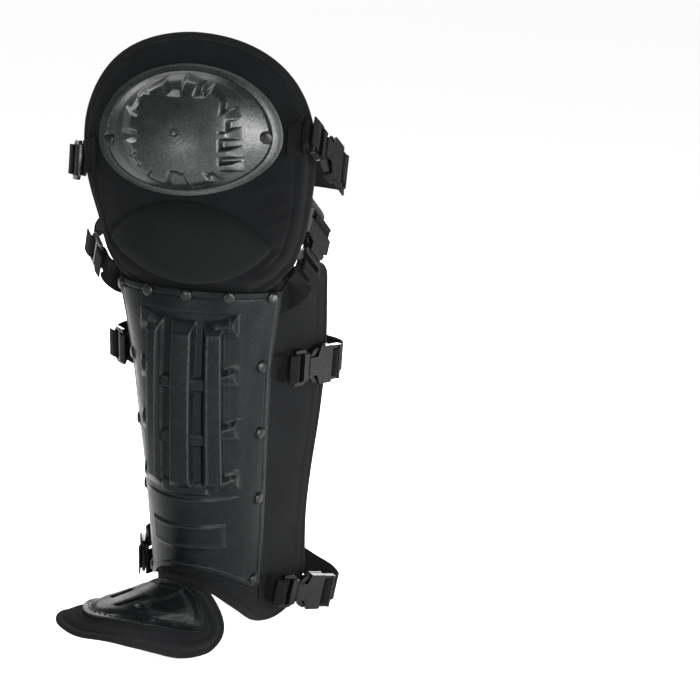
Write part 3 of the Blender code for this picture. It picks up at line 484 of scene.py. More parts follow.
def clothLook(name, colour, pitch, sheen, bump=0.00016):
    # plain weave: warp and weft sines, uneven yarn, dusty sheen
    look = newLook(name, colour, 0.88, Sheen_Weight=sheen, Sheen_Roughness=0.5, Specular_IOR_Level=0.035)
    weave = combined(look, "MULTIPLY", ripple(look, "X", pitch), ripple(look, "Y", pitch))
    yarn = combined(look, "MULTIPLY", objectNoise(look, 900, 3), 1.4)
    height = combined(look, "ADD", weave, yarn)
    cloud = ramp(look, objectNoise(look, 18, 4), 0.0, 0.45)
    shade = combined(look, "ADD", ramp(look, height, 0.0, 0.55, -0.6, 1.8), cloud)
    feed(look, "Base Color", mixed(look, shade, *shades(colour, 0.75, 1.9)))
    feed(look, "Sheen Weight", ramp(look, height, 0.0, sheen * 1.8, -0.2, 1.8))
    feed(look, "Normal", bumped(look, height, bump, 0.9))
    return look


def webLook(name, colour):
    # webbing: ribs across, fine twill along them, thick edges
    look = newLook(name, colour, 0.72, Sheen_Weight=0.015, Sheen_Roughness=0.4, Specular_IOR_Level=0.045)
    height = combined(look, "MULTIPLY", ripple(look, "X", 1.3), 0.45)
    for wave in (ripple(look, "Y", 1.9), objectNoise(look, 1200, 2)):
        height = combined(look, "ADD", height, combined(look, "MULTIPLY", wave, 0.8))
    shade = ramp(look, height, 0.0, 1.0, -0.8, 1.8)
    feed(look, "Base Color", mixed(look, shade, *shades(colour, 0.6, 1.7)))
    feed(look, "Normal", bumped(look, height, 0.0003, 0.8))
    return look


def hardLook(name, colour, rough, gloss):
    # injection-moulded fitting: fine spark texture and a cloudy gloss
    look = newLook(name, colour, rough, Specular_IOR_Level=gloss)
    cloud = ramp(look, objectNoise(look, 90, 4), 0.0, 1.0)
    feed(look, "Roughness", ramp(look, objectNoise(look, 160, 3), rough - 0.05, rough + 0.1))
    feed(look, "Base Color", mixed(look, cloud, *shades(colour, 1, 1.5)))
    feed(look, "Normal", bumped(look, objectNoise(look, 1900, 2), 0.00005, 0.35))
    return look


# paler colour of the edges: wear together with a painted edge highlight
wornAndHighlightColour = (0.02, 0.022, 0.022)
shell = shellLook("moulded shell", (0.0015, 0.0021, 0.0023), 0.35, 0.065)
capShell = shellLook("moulded knee cap", (0.0020, 0.0031, 0.0029), 0.33, 0.32)
coverShell = shellLook("moulded instep cover", (0.0012, 0.0015, 0.0016), 0.32, 0.045)
nylon = clothLook("nylon cloth", (0.0017, 0.0019, 0.0021), 0.9, sheen=0.018)
foamFace = clothLook("knit foam face", (0.0020, 0.0024, 0.0023), 1.4, sheen=0.012, bump=0.0001)
tape = clothLook("binding tape", (0.0022, 0.0024, 0.0026), 1.2, sheen=0.025, bump=0.0002)
web = webLook("ribbed webbing", (0.0016, 0.0017, 0.0017))
fitting = hardLook("moulded fitting", (0.0018, 0.0018, 0.002), 0.25, 0.18)
rivetLook = hardLook("lacquered rivet", (0.0025, 0.0028, 0.003), 0.22, 0.15)
thread = clothLook("thread", (0.004, 0.004, 0.004), 0.5, sheen=0.05)
print("materials ready")


# the hard ribbed plate on the shin
plate = {
    "top": 139, "corner": -204, "arch": 44, "flatness": 2.6, "wall": 3.0,
    "rimHeight": 1.2, "rimWide": 4.4, "rimSlope": 1.6,
    # raised ribs: left, right; their walls slope over ribSlope, their ends over ribEnd
    "ribs": ((-38, -28.5), (-10.5, 6.5), (23, 35)), "ribHeight": 7.0, "ribSlope": 4.8,
    "ribTop": 97, "ribBottom": -58, "ribEnd": 13,
    "panelHalf": 36, "panelFade": 18, "panelTop": 116, "panelBottom": -78, "panelDepth": 1.6,
    # bridges between the ribs and stubs beside them
    "bridgeTops": (50, -8, -62), "bridgeTall": 9, "bridgeHeight": 2.6, "bridgeHalf": 23,
    "stubTops": (113, 61, 4, -54), "stubTall": 20, "stubHeight": 4.2, "stubEdges": (38, 46),
    # raised frame low on the plate: left, right, bottom, top
    "label": (-38, 36, -135, -111), "labelHeight": 1.9,
    "dimple": (-1, 8, 2.2),
    # below the split the rows bend to the arched edge; between -inner and inner the columns are straight
    "split": -142, "inner": 57,
}


def plateRelief(x, z):
    # ribs, bridges and stubs stand on a sunk panel; each adds its height over the panel's floor
    p = plate
    deep = p["panelDepth"]
    wide = p["panelHalf"]
    height = -deep * block(x, z, -wide, wide, p["panelBottom"], p["panelTop"], p["panelFade"], 2.4)
    floor = height.copy()
    for x0, x1 in p["ribs"]:
        rib = block(x, z, x0, x1, p["ribBottom"], p["ribTop"], p["ribSlope"], p["ribEnd"])
        height = np.maximum(height, floor + (p["ribHeight"] + deep) * rib)
    for top in p["bridgeTops"]:
        bridge = block(x, z, -p["bridgeHalf"], p["bridgeHalf"], top - p["bridgeTall"], top, 3, 3)
        height = np.maximum(height, floor + (p["bridgeHeight"] + deep) * bridge)
    x0, x1 = p["stubEdges"]
    for top in p["stubTops"]:
        for side in (-1, 1):
            # a steep upper end, a lower end that fades out
            out = side * x
            upper = bevelStep(top - z + 0.35 * (out - x0), 6.5)
            lower = softStep(z - top + p["stubTall"], 13.0)
            outer = bevelStep(x1 + 6 - out, 6) * (out > x0 - 8)
            stub = np.minimum(np.minimum(upper, lower), outer)
            height = np.maximum(height, floor + (p["stubHeight"] + deep) * stub)
    x0, x1, z0, z1 = p["label"]
    label = block(x, z, x0, x1, z0, z1, 3.6, 3.0)
    inset = block(x, z, x0 + 3, x1 - 3, z0 + 3, z1 - 3, 1.6, 1.6)
    height = np.where(label > 0, p["labelHeight"] * label - 0.5 * inset, height)
    x0, z0, wide = p["dimple"]
    return height - 0.8 * hump((x - x0) ** 2 + (z - z0) ** 2, wide)


def plateGrid():
    # rows at even heights down to the split, then blended to the arched lower edge
    p = plate
    slope = p["ribSlope"] / 2
    across = []
    for x0, x1 in p["ribs"]:
        across += [x0 - slope, x1 + slope]
    across += [-48.5, 48.5, -0.0]
    inner = gridLines(-p["inner"], p["inner"], across, 3.2, 0.85, 3.2)
    levels = [
        p["panelTop"] + 1.2, p["ribTop"] + 4, p["ribTop"] + 10, p["panelBottom"] - 1.2, p["ribBottom"] - 6,
        p["ribBottom"] - 11, *p["label"][2:], p["dimple"][1],
    ]
    for top in p["bridgeTops"]:
        levels += [top + 1.5, top - p["bridgeTall"] - 1.5]
    for top in p["stubTops"]:
        levels += [top - 2.5]
    high = gridLines(p["split"], p["top"], levels + [134, 137], 3.6, 0.85, 3.4)[::-1]
    low = 1 - (1 - np.linspace(0, 1, 30)[1:]) ** 1.5
    z = np.concatenate([high, np.full(len(low), float(p["split"]))])
    share = np.concatenate([0 * high, low])
    half = readTable(shinRows, z)[0][:, None]
    scale = np.minimum(1, (half - 7) / p["inner"])
    out = np.concatenate([np.linspace(0, 0.55, 6)[1:], np.linspace(0.55, 1, 11)[1:]])
    edge = p["inner"] * scale
    right = edge + (half - edge) * out[None]
    x = np.hstack([-right[:, ::-1], inner[None] * scale, right])
    reach = np.clip(np.abs(x) / half, 0, 1)
    bottom = p["corner"] + p["arch"] * (1 - reach ** p["flatness"])
    z = z[:, None] + (bottom - z[:, None]) * share[:, None]
    return x * readTable(shinRows, z)[0] / half, z


def convexity(height):
    # how far a point stands above the mean of its neighbours: such edges are painted paler, as wear and as
    # a painted edge highlight
    mean = height.copy()
    mean[1:-1, 1:-1] = (height[:-2, 1:-1] + height[2:, 1:-1] + height[1:-1, :-2] + height[1:-1, 2:]) / 4
    return np.clip((height - mean) / 0.35, 0, 1)


def makePlate():
    p = plate
    x, z = plateGrid()
    away = edgeDistance(plateAt(x, z, 0))
    rim = 1 - softStep(away - p["rimWide"], p["rimSlope"])
    relief = plateRelief(x, z) * softStep(away - 2, 3) + p["rimHeight"] * rim
    relief = relief - 0.5 * hump(away - p["rimWide"] - p["rimSlope"], 0.9)
    outer = plateAt(x, z, relief)
    inner = plateAt(x, z, -p["wall"] + 0 * x)
    # raised edges painted paler: wear and a painted edge highlight
    wearAndHighlight = convexity(relief)
    wallPiece("shinPlate", outer, inner, shell, ["shin_plate"], 0.5, 3, 50, wearAndHighlight)


makePlate()
print("shin plate made")


# the knee cap, an egg-shaped dome with a toothed plateau
cap = {
    # half width, up, down, centre z
    "rings": (
        (0, 0, 0, 294), (38, 32, 30, 294), (51.5, 45.5, 43.5, 293.5), (66, 54.6, 46.2, 290.3),
        (80.5, 62.5, 47.5, 287), (92.5, 69, 53, 287),
    ),
    # half width, height of the outer face over the knee panel; then the plateau's height over that
    "lifts": (
        (0, 19.6), (20, 19.2), (38, 17.6), (51.5, 15), (66, 10.6), (80.5, 4.9), (84, 3.6), (92.5, 3.3),
    ),
    "plateau": ((0, 8.6), (20, 8.2), (38, 7.2), (50, 6.6), (66, 5)),
    "tilt": math.radians(4.5), "tiltZ": 287, "wall": 3.0, "groove": 81.6, "centre": (-0.5, 295.5),
    # small sunk point with a low ring round it
    "dimple": (-0.5, 293.8),
    # the plateau's block: half width, up, down, corner
    "root": (38, 31.5, 35, 47),
    # teeth: direction in degrees, offset to the left of it, reach, half width, slope of the tip
    "teeth": (
        (121, 0, 44, 6.5, 0.9), (150, 0, 44, 6, 0.8), (173, 0, 46, 5.5, 0.5), (202, 0, 46, 3, 0.5),
        (216, 0, 50, 2.6, 0.65), (230, 0, 51, 4, 1), (248, 0, 50, 7, 1), (294, 0, 51, 8, 1),
        (318, 0, 50, 2.6, 0.4), (6, -35, 45, 1.8, 0.3), (8, -23.5, 44, 2, 0.27), (8, -7, 44, 2, 0.27),
        (0, 9, 43.5, 6, 1), (20, 0, 45, 2.2, 0.27), (47, 0, 46, 4.2, 0.7), (77, 0, 46, 5, 1),
    ),
    # width of the sloping wall by direction
    "walls": ((-180, 7), (-110, 4.6), (-60, 4.4), (-40, 3.6), (30, 3.6), (50, 4.8), (110, 6), (180, 7)),
}


def toothed(x, z):
    # 1 on the plateau: a cornered block joined with one box for each tooth, with walls sloping out
    cx, cz = cap["centre"]
    x, z = x - cx, z - cz
    wide, up, down, corner = cap["root"]
    far = np.maximum(np.abs(x) - wide, np.maximum(z - up, -z - down))
    far = np.maximum(far, (np.abs(x) + np.abs(z)) / math.sqrt(2) - corner)
    for degrees, offset, tip, half, slope in cap["teeth"]:
        turn = math.radians(degrees)
        out = x * math.cos(turn) + z * math.sin(turn)
        side = z * math.cos(turn) - x * math.sin(turn) - offset
        far = np.minimum(far, np.maximum(np.maximum((out - tip) * slope, -out), np.abs(side) - half))
    wall = np.interp(np.degrees(np.arctan2(z, x)), *np.array(cap["walls"]).T)
    return bevelStep(wall - far, wall)


def capGrid(half, turn):
    # half ellipses above and below each ring's centre height, tilted with the whole cap
    up, down, centre = readTable(cap["rings"], half)
    x = half[:, None] * np.cos(turn)
    tall = np.where(np.sin(turn) > 0, up[:, None], down[:, None])
    z = (centre - cap["tiltZ"])[:, None] + tall * np.sin(turn)
    c, s = math.cos(cap["tilt"]), math.sin(cap["tilt"])
    return x * c - z * s, cap["tiltZ"] + x * s + z * c


def makeCap():
    p = cap
    groove = p["groove"]
    rim = p["rings"][-1][0]
    half = gridLines(0, rim, [groove, rim - 1.5], 3.2, 0.6, 2.4)
    # closer rings at the dimple and over the teeth
    plain = half[(half < 29) | (half > 71)]
    half = np.unique(np.concatenate([plain, np.arange(0.5, 7, 0.5), np.arange(29, 71, 0.85)]))
    turn = circle(360)
    x, z = capGrid(half, turn)
    lift = readTable(p["lifts"], half)[0][:, None] + 0 * x
    lift = lift + toothed(x, z) * readTable(p["plateau"], half)[0][:, None]
    lift = lift - 1.3 * hump(half[:, None] - groove, 0.9)
    away = (x - p["dimple"][0]) ** 2 + (z - p["dimple"][1]) ** 2
    lift = lift - 1.3 * np.exp(-away / 1.8) + 0.2 * hump(np.sqrt(away) - 2.8, 1)
    lift[-1] -= 0.5
    outer = kneeAt(x, z, lift)
    inner = kneeAt(x, z, np.maximum(lift - p["wall"], 0.4))
    rows, cols = x.shape
    count = rows * cols
    band = count - cols + np.arange(cols)
    nextBand = np.roll(band, -1)
    edge = np.stack([band, nextBand, count + nextBand, count + band], -1)
    faces = np.concatenate([gridQuads(rows, cols, True), gridQuads(rows, cols, True, count), edge])
    points = np.concatenate([outer.reshape(-1, 3), inner.reshape(-1, 3)])
    # raised edges painted paler: wear and a painted edge highlight
    wearAndHighlight = np.concatenate([convexity(lift).ravel(), 0 * lift.ravel()])
    addPiece("kneeCap", points, faces, capShell, ["knee_cap"], sharp=50, wearAndHighlight=wearAndHighlight)
    seamX, seamZ = capGrid(np.array([groove]), turn)
    line = kneeAt(seamX, seamZ, 3.9 + 0 * seamX)[0]
    stitchPiece("kneeCapStitches", line, kneeAt(seamX, seamZ, 6 + 0 * seamX)[0] - line, 6.2, 4.2, 0.5)


makeCap()
print("knee cap made")


# domed rivets; those on the plate below its top row each with a thin ring pressed into the shell round it
rivets = {
    "radius": 6.1, "height": 2.6, "rimHeight": 1.4,
    "plate": {
        "top_1": (-79.5, 133.5), "top_2": (-42, 134.5), "top_3": (0, 134.5), "top_4": (42, 134.5),
        "top_5": (79.5, 133.5), "right_1": (69.4, 61), "right_2": (66.2, -13), "right_3": (62.8, -90),
        "right_4": (57.5, -187), "left_1": (-69.4, 61), "left_2": (-66.2, -13), "left_3": (-62.8, -90),
        "left_4": (-57.5, -187),
    },
    "cap": {"left": (-77.5, 280.8), "right": (77.5, 293.0)}, "capLift": 6.8, "capLean": 0.06,
    # radius, height
    "ring": ((6.3, -0.6), (6.5, 0.15), (7.1, 0.42), (7.9, 0.3), (8.6, -0.05), (8.7, -0.6)),
}


def turnedProfile(spot, normal, profile, count):
    # pairs of radius and height turned about a rivet's axis
    turn = circle(count)
    axes = np.array(Vector(normal).normalized().to_track_quat("Z", "Y").to_matrix())
    radius, height = profile[:, :1], profile[:, 1:]
    local = np.stack([radius * np.cos(turn), radius * np.sin(turn), height + 0 * turn[None]], -1)
    return np.asarray(spot) + local @ axes.T


def rivetPiece(name, spot, normal, replaces):
    r, h = rivets["radius"], rivets["height"]
    profile = np.array([
        (0, -0.2), (r * 0.96, -0.2), (r, 0.1), (r, 0.8), (r * 0.97, 1.25), (r * 0.9, 1.7),
        (r * 0.78, h * 0.84), (r * 0.6, h * 0.93), (r * 0.3, h * 0.99), (0, h),
    ]) + [0, 0.4]
    points = turnedProfile(spot, normal, profile, 28)
    faces = gridQuads(*points.shape[:2], True)
    addPiece(name, points.reshape(-1, 3), faces, rivetLook, [replaces], sharp=60)


def ringPiece(name, spot, normal):
    # a low rounded ring in the shell round a rivet
    points = turnedProfile(spot, normal, np.array(rivets["ring"]), 36).transpose(1, 0, 2)
    rows, cols = points.shape[:2]
    first, last = np.arange(cols), (rows - 1) * cols + np.arange(cols)
    ends = np.stack([last, np.roll(last, -1), np.roll(first, -1), first], -1)
    faces = np.concatenate([gridQuads(rows, cols, True), ends])
    addPiece(name, points.reshape(-1, 3), faces, shell, sharp=60)


def makeRivets():
    p = rivets
    for name, (x, z) in p["plate"].items():
        x, z = np.float64(x), np.float64(z)
        onTop = z > 120
        foot = plateAt(x, z, 0.0)
        normal = plateAt(x, z, 1.0) - foot
        spot = plateAt(x, z, p["rimHeight"] * onTop)
        rivetPiece("plateRivet_" + name, spot, normal, "plate_rivet_" + name)
        if not onTop:
            ringPiece("plateRing_" + name, foot, normal)
    for name, (x, z) in p["cap"].items():
        x, z = np.float64(x), np.float64(z)
        spot = kneeAt(x, z, p["capLift"])
        normal = spot - kneeAt(x, z, p["capLift"] - 1) + np.array([p["capLean"] * np.sign(x), 0, 0])
        rivetPiece("capRivet_" + name, spot, normal, "cap_rivet_" + name)


makeRivets()
print("rivets made")


def creased(x, z, rows):
    # soft folds: each row is a ridge along a line, x0, z0, x1, z1, height, width, fading to its ends
    height = 0 * x
    for x0, z0, x1, z1, tall, wide in rows:
        long = math.hypot(x1 - x0, z1 - z0)
        ux, uz = (x1 - x0) / long, (z1 - z0) / long
        t = ((x - x0) * ux + (z - z0) * uz) / long
        off = (z - z0) * ux - (x - x0) * uz + 0.06 * long * np.sin(3.1 * t + x0)
        fade = np.clip(1 - (2 * t - 1) ** 2, 0, 1)
        height = height + tall * fade * (hump(off, wide) - 0.5 * hump(off - 2 * wide, 1.6 * wide))
    return height


def waves(x, z, size, tall):
    # slow unevenness of padding: three crossed sines
    a = np.sin(x / size + 1.3 * np.sin(z / size / 1.7))
    return tall * (a * np.cos(z / size / 1.3 + 0.7) + 0.5 * np.sin((x + z) / size / 0.62))


def padLift(away, edge, seam):
    # thinner rounded border, a sewn line inside it and the puffed strip between
    soft = np.sqrt(np.clip(1 - (1 - np.clip(away / edge, 0, 1)) ** 2, 0, 1))
    return -2.0 * (1 - soft) - 0.9 * hump(away - seam, 1.2) + 0.5 * hump(away - seam * 0.55, 3.2)


def bindingPiece(name, outer, inner, replaces):
    # tape folded over a panel's border: a rounded flat section carried along it, sewn on both faces
    rim = rimOrder(*outer.shape[:2])
    out, inn = outer.reshape(-1, 3)[rim], inner.reshape(-1, 3)[rim]
    both = evenLoop(np.hstack([(out + inn) / 2, out - inn]), 3.0)
    middle, through = smoothed(both[:, :3], 2), unit(smoothed(both[:, 3:], 2))
    along = loopAlong(middle)
    away = unit(np.cross(along, through))
    away *= np.sign((away * (middle - middle.mean(axis=0))).sum())
    away = unit(smoothed(away, 2))
    through = unit(np.cross(away, along))
    through *= np.sign((through * both[:, 3:]).sum())
    c, s = np.cos(circle(22)), np.sin(circle(22))
    wide = 3.3 + 4.1 * np.sign(c) * np.abs(c) ** 0.8
    # the sewn line draws the tape in
    tall = 2.7 * np.sign(s) * np.abs(s) ** 0.75 * (1 - 0.22 * hump(wide - 1.4, 0.9))
    profile = np.column_stack([wide, tall])
    sweepPiece(name, middle, away, through, profile, tape, [replaces], True, 80)
    for side, label in ((1, "Stitches"), (-1, "InnerStitches")):
        seam = middle + 1.4 * away + side * 2.25 * through
        stitchPiece(name + label, seam, side * through, 4.6, 3.0, 0.32)


def paddedPanel(name, node, outer, inner):
    # a sewn panel of nylon over foam, with the tape round its border
    panel = wallPiece(name, outer, inner, nylon, [node], 0.8, 3, 80)
    bindingPiece(name + "Binding", outer, inner, node + "_binding")


# the padded knee panel and the pointed oval cushion on it
roll = {"centreZ": 185.5, "halfWide": 81, "halfTall": 40, "fullness": 0.78, "thick": 13, "channel": 1.9}

kneePad = {
    "wideZ": 265, "rise": 112, "leftDrop": 6, "bottom": 133, "cornerRise": 37,
    "wall": 8.0, "edge": 12, "seam": 14, "mostLift": 1.4,
    # ridges: x0, z0, x1, z1, height, width
    "creases": (
        (-100, 222, -62, 236, 1.2, 3.5), (-96, 243, -66, 232, 0.9, 3), (96, 252, 58, 238, 1.3, 3.5),
        (104, 236, 66, 222, 1.1, 3.5), (100, 214, 76, 206, 0.9, 3), (104, 300, 92, 270, 1.0, 3.5),
        (100, 318, 96, 292, 0.9, 3), (-104, 262, -90, 240, 0.9, 3), (-92, 205, -70, 214, 0.8, 3),
        (-60, 150, -20, 143, 0.8, 3), (62, 152, 20, 143, 0.8, 3), (90, 180, 70, 166, 0.9, 3),
    ),
}


def makeKneePad():
    p = kneePad
    u = crowded(121)
    v = np.linspace(0, 1, 71)[:, None]
    reach = np.abs(u)
    top = p["wideZ"] + p["rise"] * (1 - reach**2.1) ** 0.62 - p["leftDrop"] * np.clip(-u, 0, 1)
    bottom = p["bottom"] + p["cornerRise"] * softStep(reach - 0.52, 0.48)
    z = bottom + (top - bottom) * v
    left, right, edgeY, frontY = readTable(kneeRows, z)
    base = arcAt(u * arcHalf + 0 * z, np.where(u < 0, left, right), edgeY, frontY)
    x = base[0]
    away = edgeDistance(lifted(*base, z, 0))
    border = padLift(away, p["edge"], p["seam"])
    free = softStep(away - 3, 6)
    lift = border + free * (creased(x, z, p["creases"]) + waves(x, z, 16, 0.25))
    # sunk channel round the cushion
    share = np.clip(1 - (x / (roll["halfWide"] + 3)) ** 2, 0, 1)
    lens = share ** roll["fullness"] * (roll["halfTall"] + 3)
    channel = hump(np.abs(z - roll["centreZ"]) - lens, 5) * softStep(100 - np.abs(x), 14)
    outer = lifted(*base, z, np.minimum(lift - roll["channel"] * channel, p["mostLift"]))
    inner = lifted(*base, z, -p["wall"] - border * 0.9 + 0.4 * free * waves(x, z, 22, 0.5))
    paddedPanel("kneePad", "knee_pad", outer, inner)


makeKneePad()
print("knee panel made")


def makeRoll():
    # the pointed oval cushion between the cap and the shin plate
    p = roll
    u = crowded(91) * 0.995
    v = crowded(45)[:, None]
    x = p["halfWide"] * u + 0 * v
    z = p["centreZ"] + p["halfTall"] * (1 - u**2) ** p["fullness"] * v
    dome = (1 - np.abs(v) ** 2.6) ** 0.6 * (1 - np.abs(u) ** 3) ** 0.5
    outer = kneeAt(x, z, 1.0 + (p["thick"] - 1.0) * dome + 0.5 * dome * waves(x, z, 14, 0.4))
    inner = kneeAt(x, z, 0.3 + 0 * x)
    cushion = wallPiece("kneeRoll", outer, inner, foamFace, ["knee_roll"], 0.5, 2, 70)
    rim = rimOrder(*x.shape)
    line = kneeAt(x, z, 0.9 + 0 * x).reshape(-1, 3)[rim]
    normal = kneeAt(x, z, 3.0 + 0 * x).reshape(-1, 3)[rim] - line
    path = evenLoop(np.hstack([line, normal]), 2.5)
    middle, outward = path[:, :3], unit(path[:, 3:])
    across = unit(np.cross(loopAlong(middle), outward))
    cord = 0.9 * np.column_stack([np.cos(circle(8)), np.sin(circle(8))])
    sweepPiece("kneeRollPiping", middle, across, outward, cord, tape, closed=True)


makeRoll()
print("knee roll made")


# the padded shin panel with its wings
shinPad = {
    "wall": 8.0, "edge": 10, "seam": 13,
    # upper edge: z at the front, its rise beyond the plate, drop of the free corner
    "top": (115, 37, 9),
    # share from front to free edge, z of the lower edge
    "bottom": (
        (0, -182), (0.12, -184.5), (0.2, -188), (0.3, -201), (0.42, -219), (0.54, -238), (0.66, -248.5),
        (0.76, -251), (0.85, -247), (0.92, -238), (0.97, -224), (1, -206),
    ),
    # where the knee panel's edge crosses this one and presses it in: share, z, depth
    "crossing": (0.455, 140, 2.2),
}


def makeShinPad():
    p = shinPad
    q = np.concatenate([np.linspace(0, 0.5, 22), np.linspace(0.5, 1, 46)[1:]])
    q = np.concatenate([-q[:0:-1], q])
    v = np.linspace(0, 1, 91)
    v = (v - 0.06 * np.sin(2 * math.pi * v))[:, None]
    reach = np.abs(q)
    corner = np.clip((reach - 0.88) / 0.12, 0, 1)
    start, rise, drop = p["top"]
    top = start + rise * softStep(reach - 0.38, 0.12) - drop * (1 - np.sqrt(1 - corner**2))
    bottom = readTable(p["bottom"], reach)[0]
    z = bottom + (top - bottom) * v
    across = q + 0 * z
    away = edgeDistance(padAt(across, z, 0))
    border = padLift(away, p["edge"], p["seam"])
    free = softStep(away - 3, 6) * softStep(np.abs(across) - 0.56, 0.1)
    share, level, depth = p["crossing"]
    sunk = depth * hump(np.abs(across) - share, 0.045) * hump(z - level, 13)
    outer = padAt(across, z, border + free * waves(across * 170, z, 26, 0.45) - sunk)
    inner = padAt(across, z, -sunk - p["wall"] - border * 0.9 + 0.35 * waves(across * 170, z, 24, 0.8))
    paddedPanel("shinPad", "shin_pad", outer, inner)


makeShinPad()
print("shin panel made")


# the instep guard: padded panel, hard cover and the strip that hangs it
foot = {
    "rear": (
        (-1, -2), (-0.9, -8), (-0.7, 2), (-0.5, 8), (-0.2, 7), (0, 5), (0.15, -2), (0.26, -10), (0.37, -15),
        (0.51, -17.5), (0.65, -20), (0.8, -22), (0.9, -21), (0.96, -16), (1, -6),
    ),
    "front": (131, 44), "wall": 8.0, "edge": 9, "seam": 12,
    "coverRear": (
        (-0.7, 16), (-0.5, 15), (-0.2, 16), (0, 13), (0.2, 1), (0.37, -4), (0.5, -4), (0.63, -2), (0.73, 2),
        (0.79, 8),
    ),
    "coverFront": (112, 42), "coverLift": 1.8, "coverWall": 3.2,
    # share of the panel's half width: left, right at the rear, right at the front
    "coverShare": (0.7, 0.79, 0.61),
    # sunk channels: two edges across, then their two ends along
    "channels": ((-0.36, -0.18, 0.34, 0.64), (0.07, 0.24, 0.36, 0.74)), "channelDepth": 3.0,
    # raised side: two ends along, two edges across, height
    "side": (14, 54, 0.30, 0.52, 1.5),
    # small moulded nub: along, across, radius, height
    "gate": (64, 0.29, 1.5, 1.7),
    "hingeHalf": 0.36, "hingeCentre": -0.058, "hingeSpread": 0.42,
}


def makeFootPad():
    p = foot
    u = crowded(91)
    rear = readTable(p["rear"], u)[0]
    front = p["front"][0] - p["front"][1] * np.abs(u) ** 3
    s = rear + (front - rear) * (0.5 - 0.5 * np.cos(np.linspace(0, math.pi, 61)))[:, None]
    across = u + 0 * s
    away = edgeDistance(footAt(s, across, 0 * s))
    border = padLift(away, p["edge"], p["seam"])
    outer = footAt(s, across, border + 0.3 * softStep(away - 3, 6) * waves(s, across * 60, 12, 0.8))
    inner = footAt(s, across, -p["wall"] - border * 0.9)
    paddedPanel("footPad", "foot_pad", outer, inner)


def coverAt(u, v, lift):
    # the cover's own grid: u across from -1 to 1, v from its rear to its front edge
    p = foot
    left, rear, front = p["coverShare"]
    across = np.where(u > 0, rear + (front - rear) * v, left) * u
    start = readTable(p["coverRear"], np.where(u > 0, rear, left) * u)[0]
    s = start + (p["coverFront"][0] - p["coverFront"][1] * np.abs(u) ** 2.2 - start) * v
    return s, across, footAt(s, across, lift)


def makeFootCover():
    p = foot
    across = [edge for channel in p["channels"] for edge in channel[:2]]
    along = [end for channel in p["channels"] for end in channel[2:]]
    u = gridLines(-1, 1, across, 0.04, 0.012, 0.05)
    v = gridLines(0, 1, [*along, 0.985, 0.015], 0.025, 0.006, 0.03)
    wide, long = np.meshgrid(u, v)
    s, across, flat = coverAt(wide, long, 0 * wide)
    away = edgeDistance(flat)
    # low border with a groove inside it
    relief = -1.3 * (1 - softStep(away - 8.5, 5)) - 0.6 * hump(away - 6.5, 0.9)
    relief = relief + 0.5 * (1 - softStep(away - 0.8, 1.6))
    a, b, c, d, tall = p["side"]
    relief = relief + tall * block(s, across, a, b, c, d, 7, 0.08)
    for a, b, c, d in p["channels"]:
        sunk = block(wide, long, a + 0.014, b - 0.014, c + 0.008, d - 0.008, 0.014, 0.008)
        relief = relief - p["channelDepth"] * sunk
    a, b, radius, tall = p["gate"]
    relief = relief + tall * hump(((s - a) ** 2 + (60 * (across - b)) ** 2) / radius**2, 2)
    lift = p["coverLift"] + p["coverWall"] + relief
    outer = footAt(s, across, lift)
    inner = footAt(s, across, np.minimum(lift - 0.6, p["coverLift"]))
    # raised edges painted paler: wear and a painted edge highlight
    wearAndHighlight = convexity(relief)
    wallPiece("footCover", outer, inner, coverShell, ["foot_cap"], 0.5, 3, 50, wearAndHighlight)
    # a sewn line that follows the edge inside it
    low, high, side = 0.05, 0.93, 0.88
    run = np.linspace(0, 1, 60)
    still = 0 * run
    us = np.concatenate([side * (2 * run - 1), side + still, side * (1 - 2 * run), -side + still])
    vs = np.concatenate([low + still, low + (high - low) * run, high + still, high - (high - low) * run])
    level = p["coverLift"] + p["coverWall"] - 1.3
    line = coverAt(us, vs, level + 0 * us)[2]
    stitchPiece("footCoverStitches", line, coverAt(us, vs, level + 2 + 0 * us)[2] - line, 5.6, 3.8, 0.5)


def makeFootHinge():
    p = foot
    u = np.linspace(-p["hingeHalf"], p["hingeHalf"], 41)
    flat = 0 * u
    across = p["hingeCentre"] + p["hingeSpread"] * u
    back = readTable(p["rear"], u)[0]
    rows = np.array([
        padAt(across, -168.5 + flat, 2.4 + flat), padAt(across, -172.0 + flat, 2.8 + flat),
        footAt(back - 1.5, u, 3.4 + flat), footAt(back + 3.5, u, 1.8 + flat),
    ])
    middle = np.interp(np.linspace(0, 1, 19), [0, 0.3, 0.8, 1.0], [0, 1, 2, 3])
    low = np.clip(middle.astype(int), 0, 2)
    w = (middle - low)[:, None, None]
    grid = rows[low] * (1 - w) + rows[low + 1] * w
    grid[1:-1] = smoothed(grid.copy(), 3, False)[1:-1]
    normal = unit(np.cross(np.gradient(grid, axis=1), np.gradient(grid, axis=0)))
    # small pleats across it, flat where it is sewn on
    pleats, free = np.sin(np.linspace(0, 60, 41)), np.sin(np.linspace(0, math.pi, 19))
    grid = grid + normal * 0.35 * pleats[None, :, None] * free[:, None, None]
    outer, inner = grid + 0.8 * normal, grid - 0.8 * normal
    wallPiece("footHinge", outer, inner, web, ["foot_hinge"], 0.3, 2, 60)


makeFootPad()
makeFootCover()
makeFootHinge()
print("instep guard made")


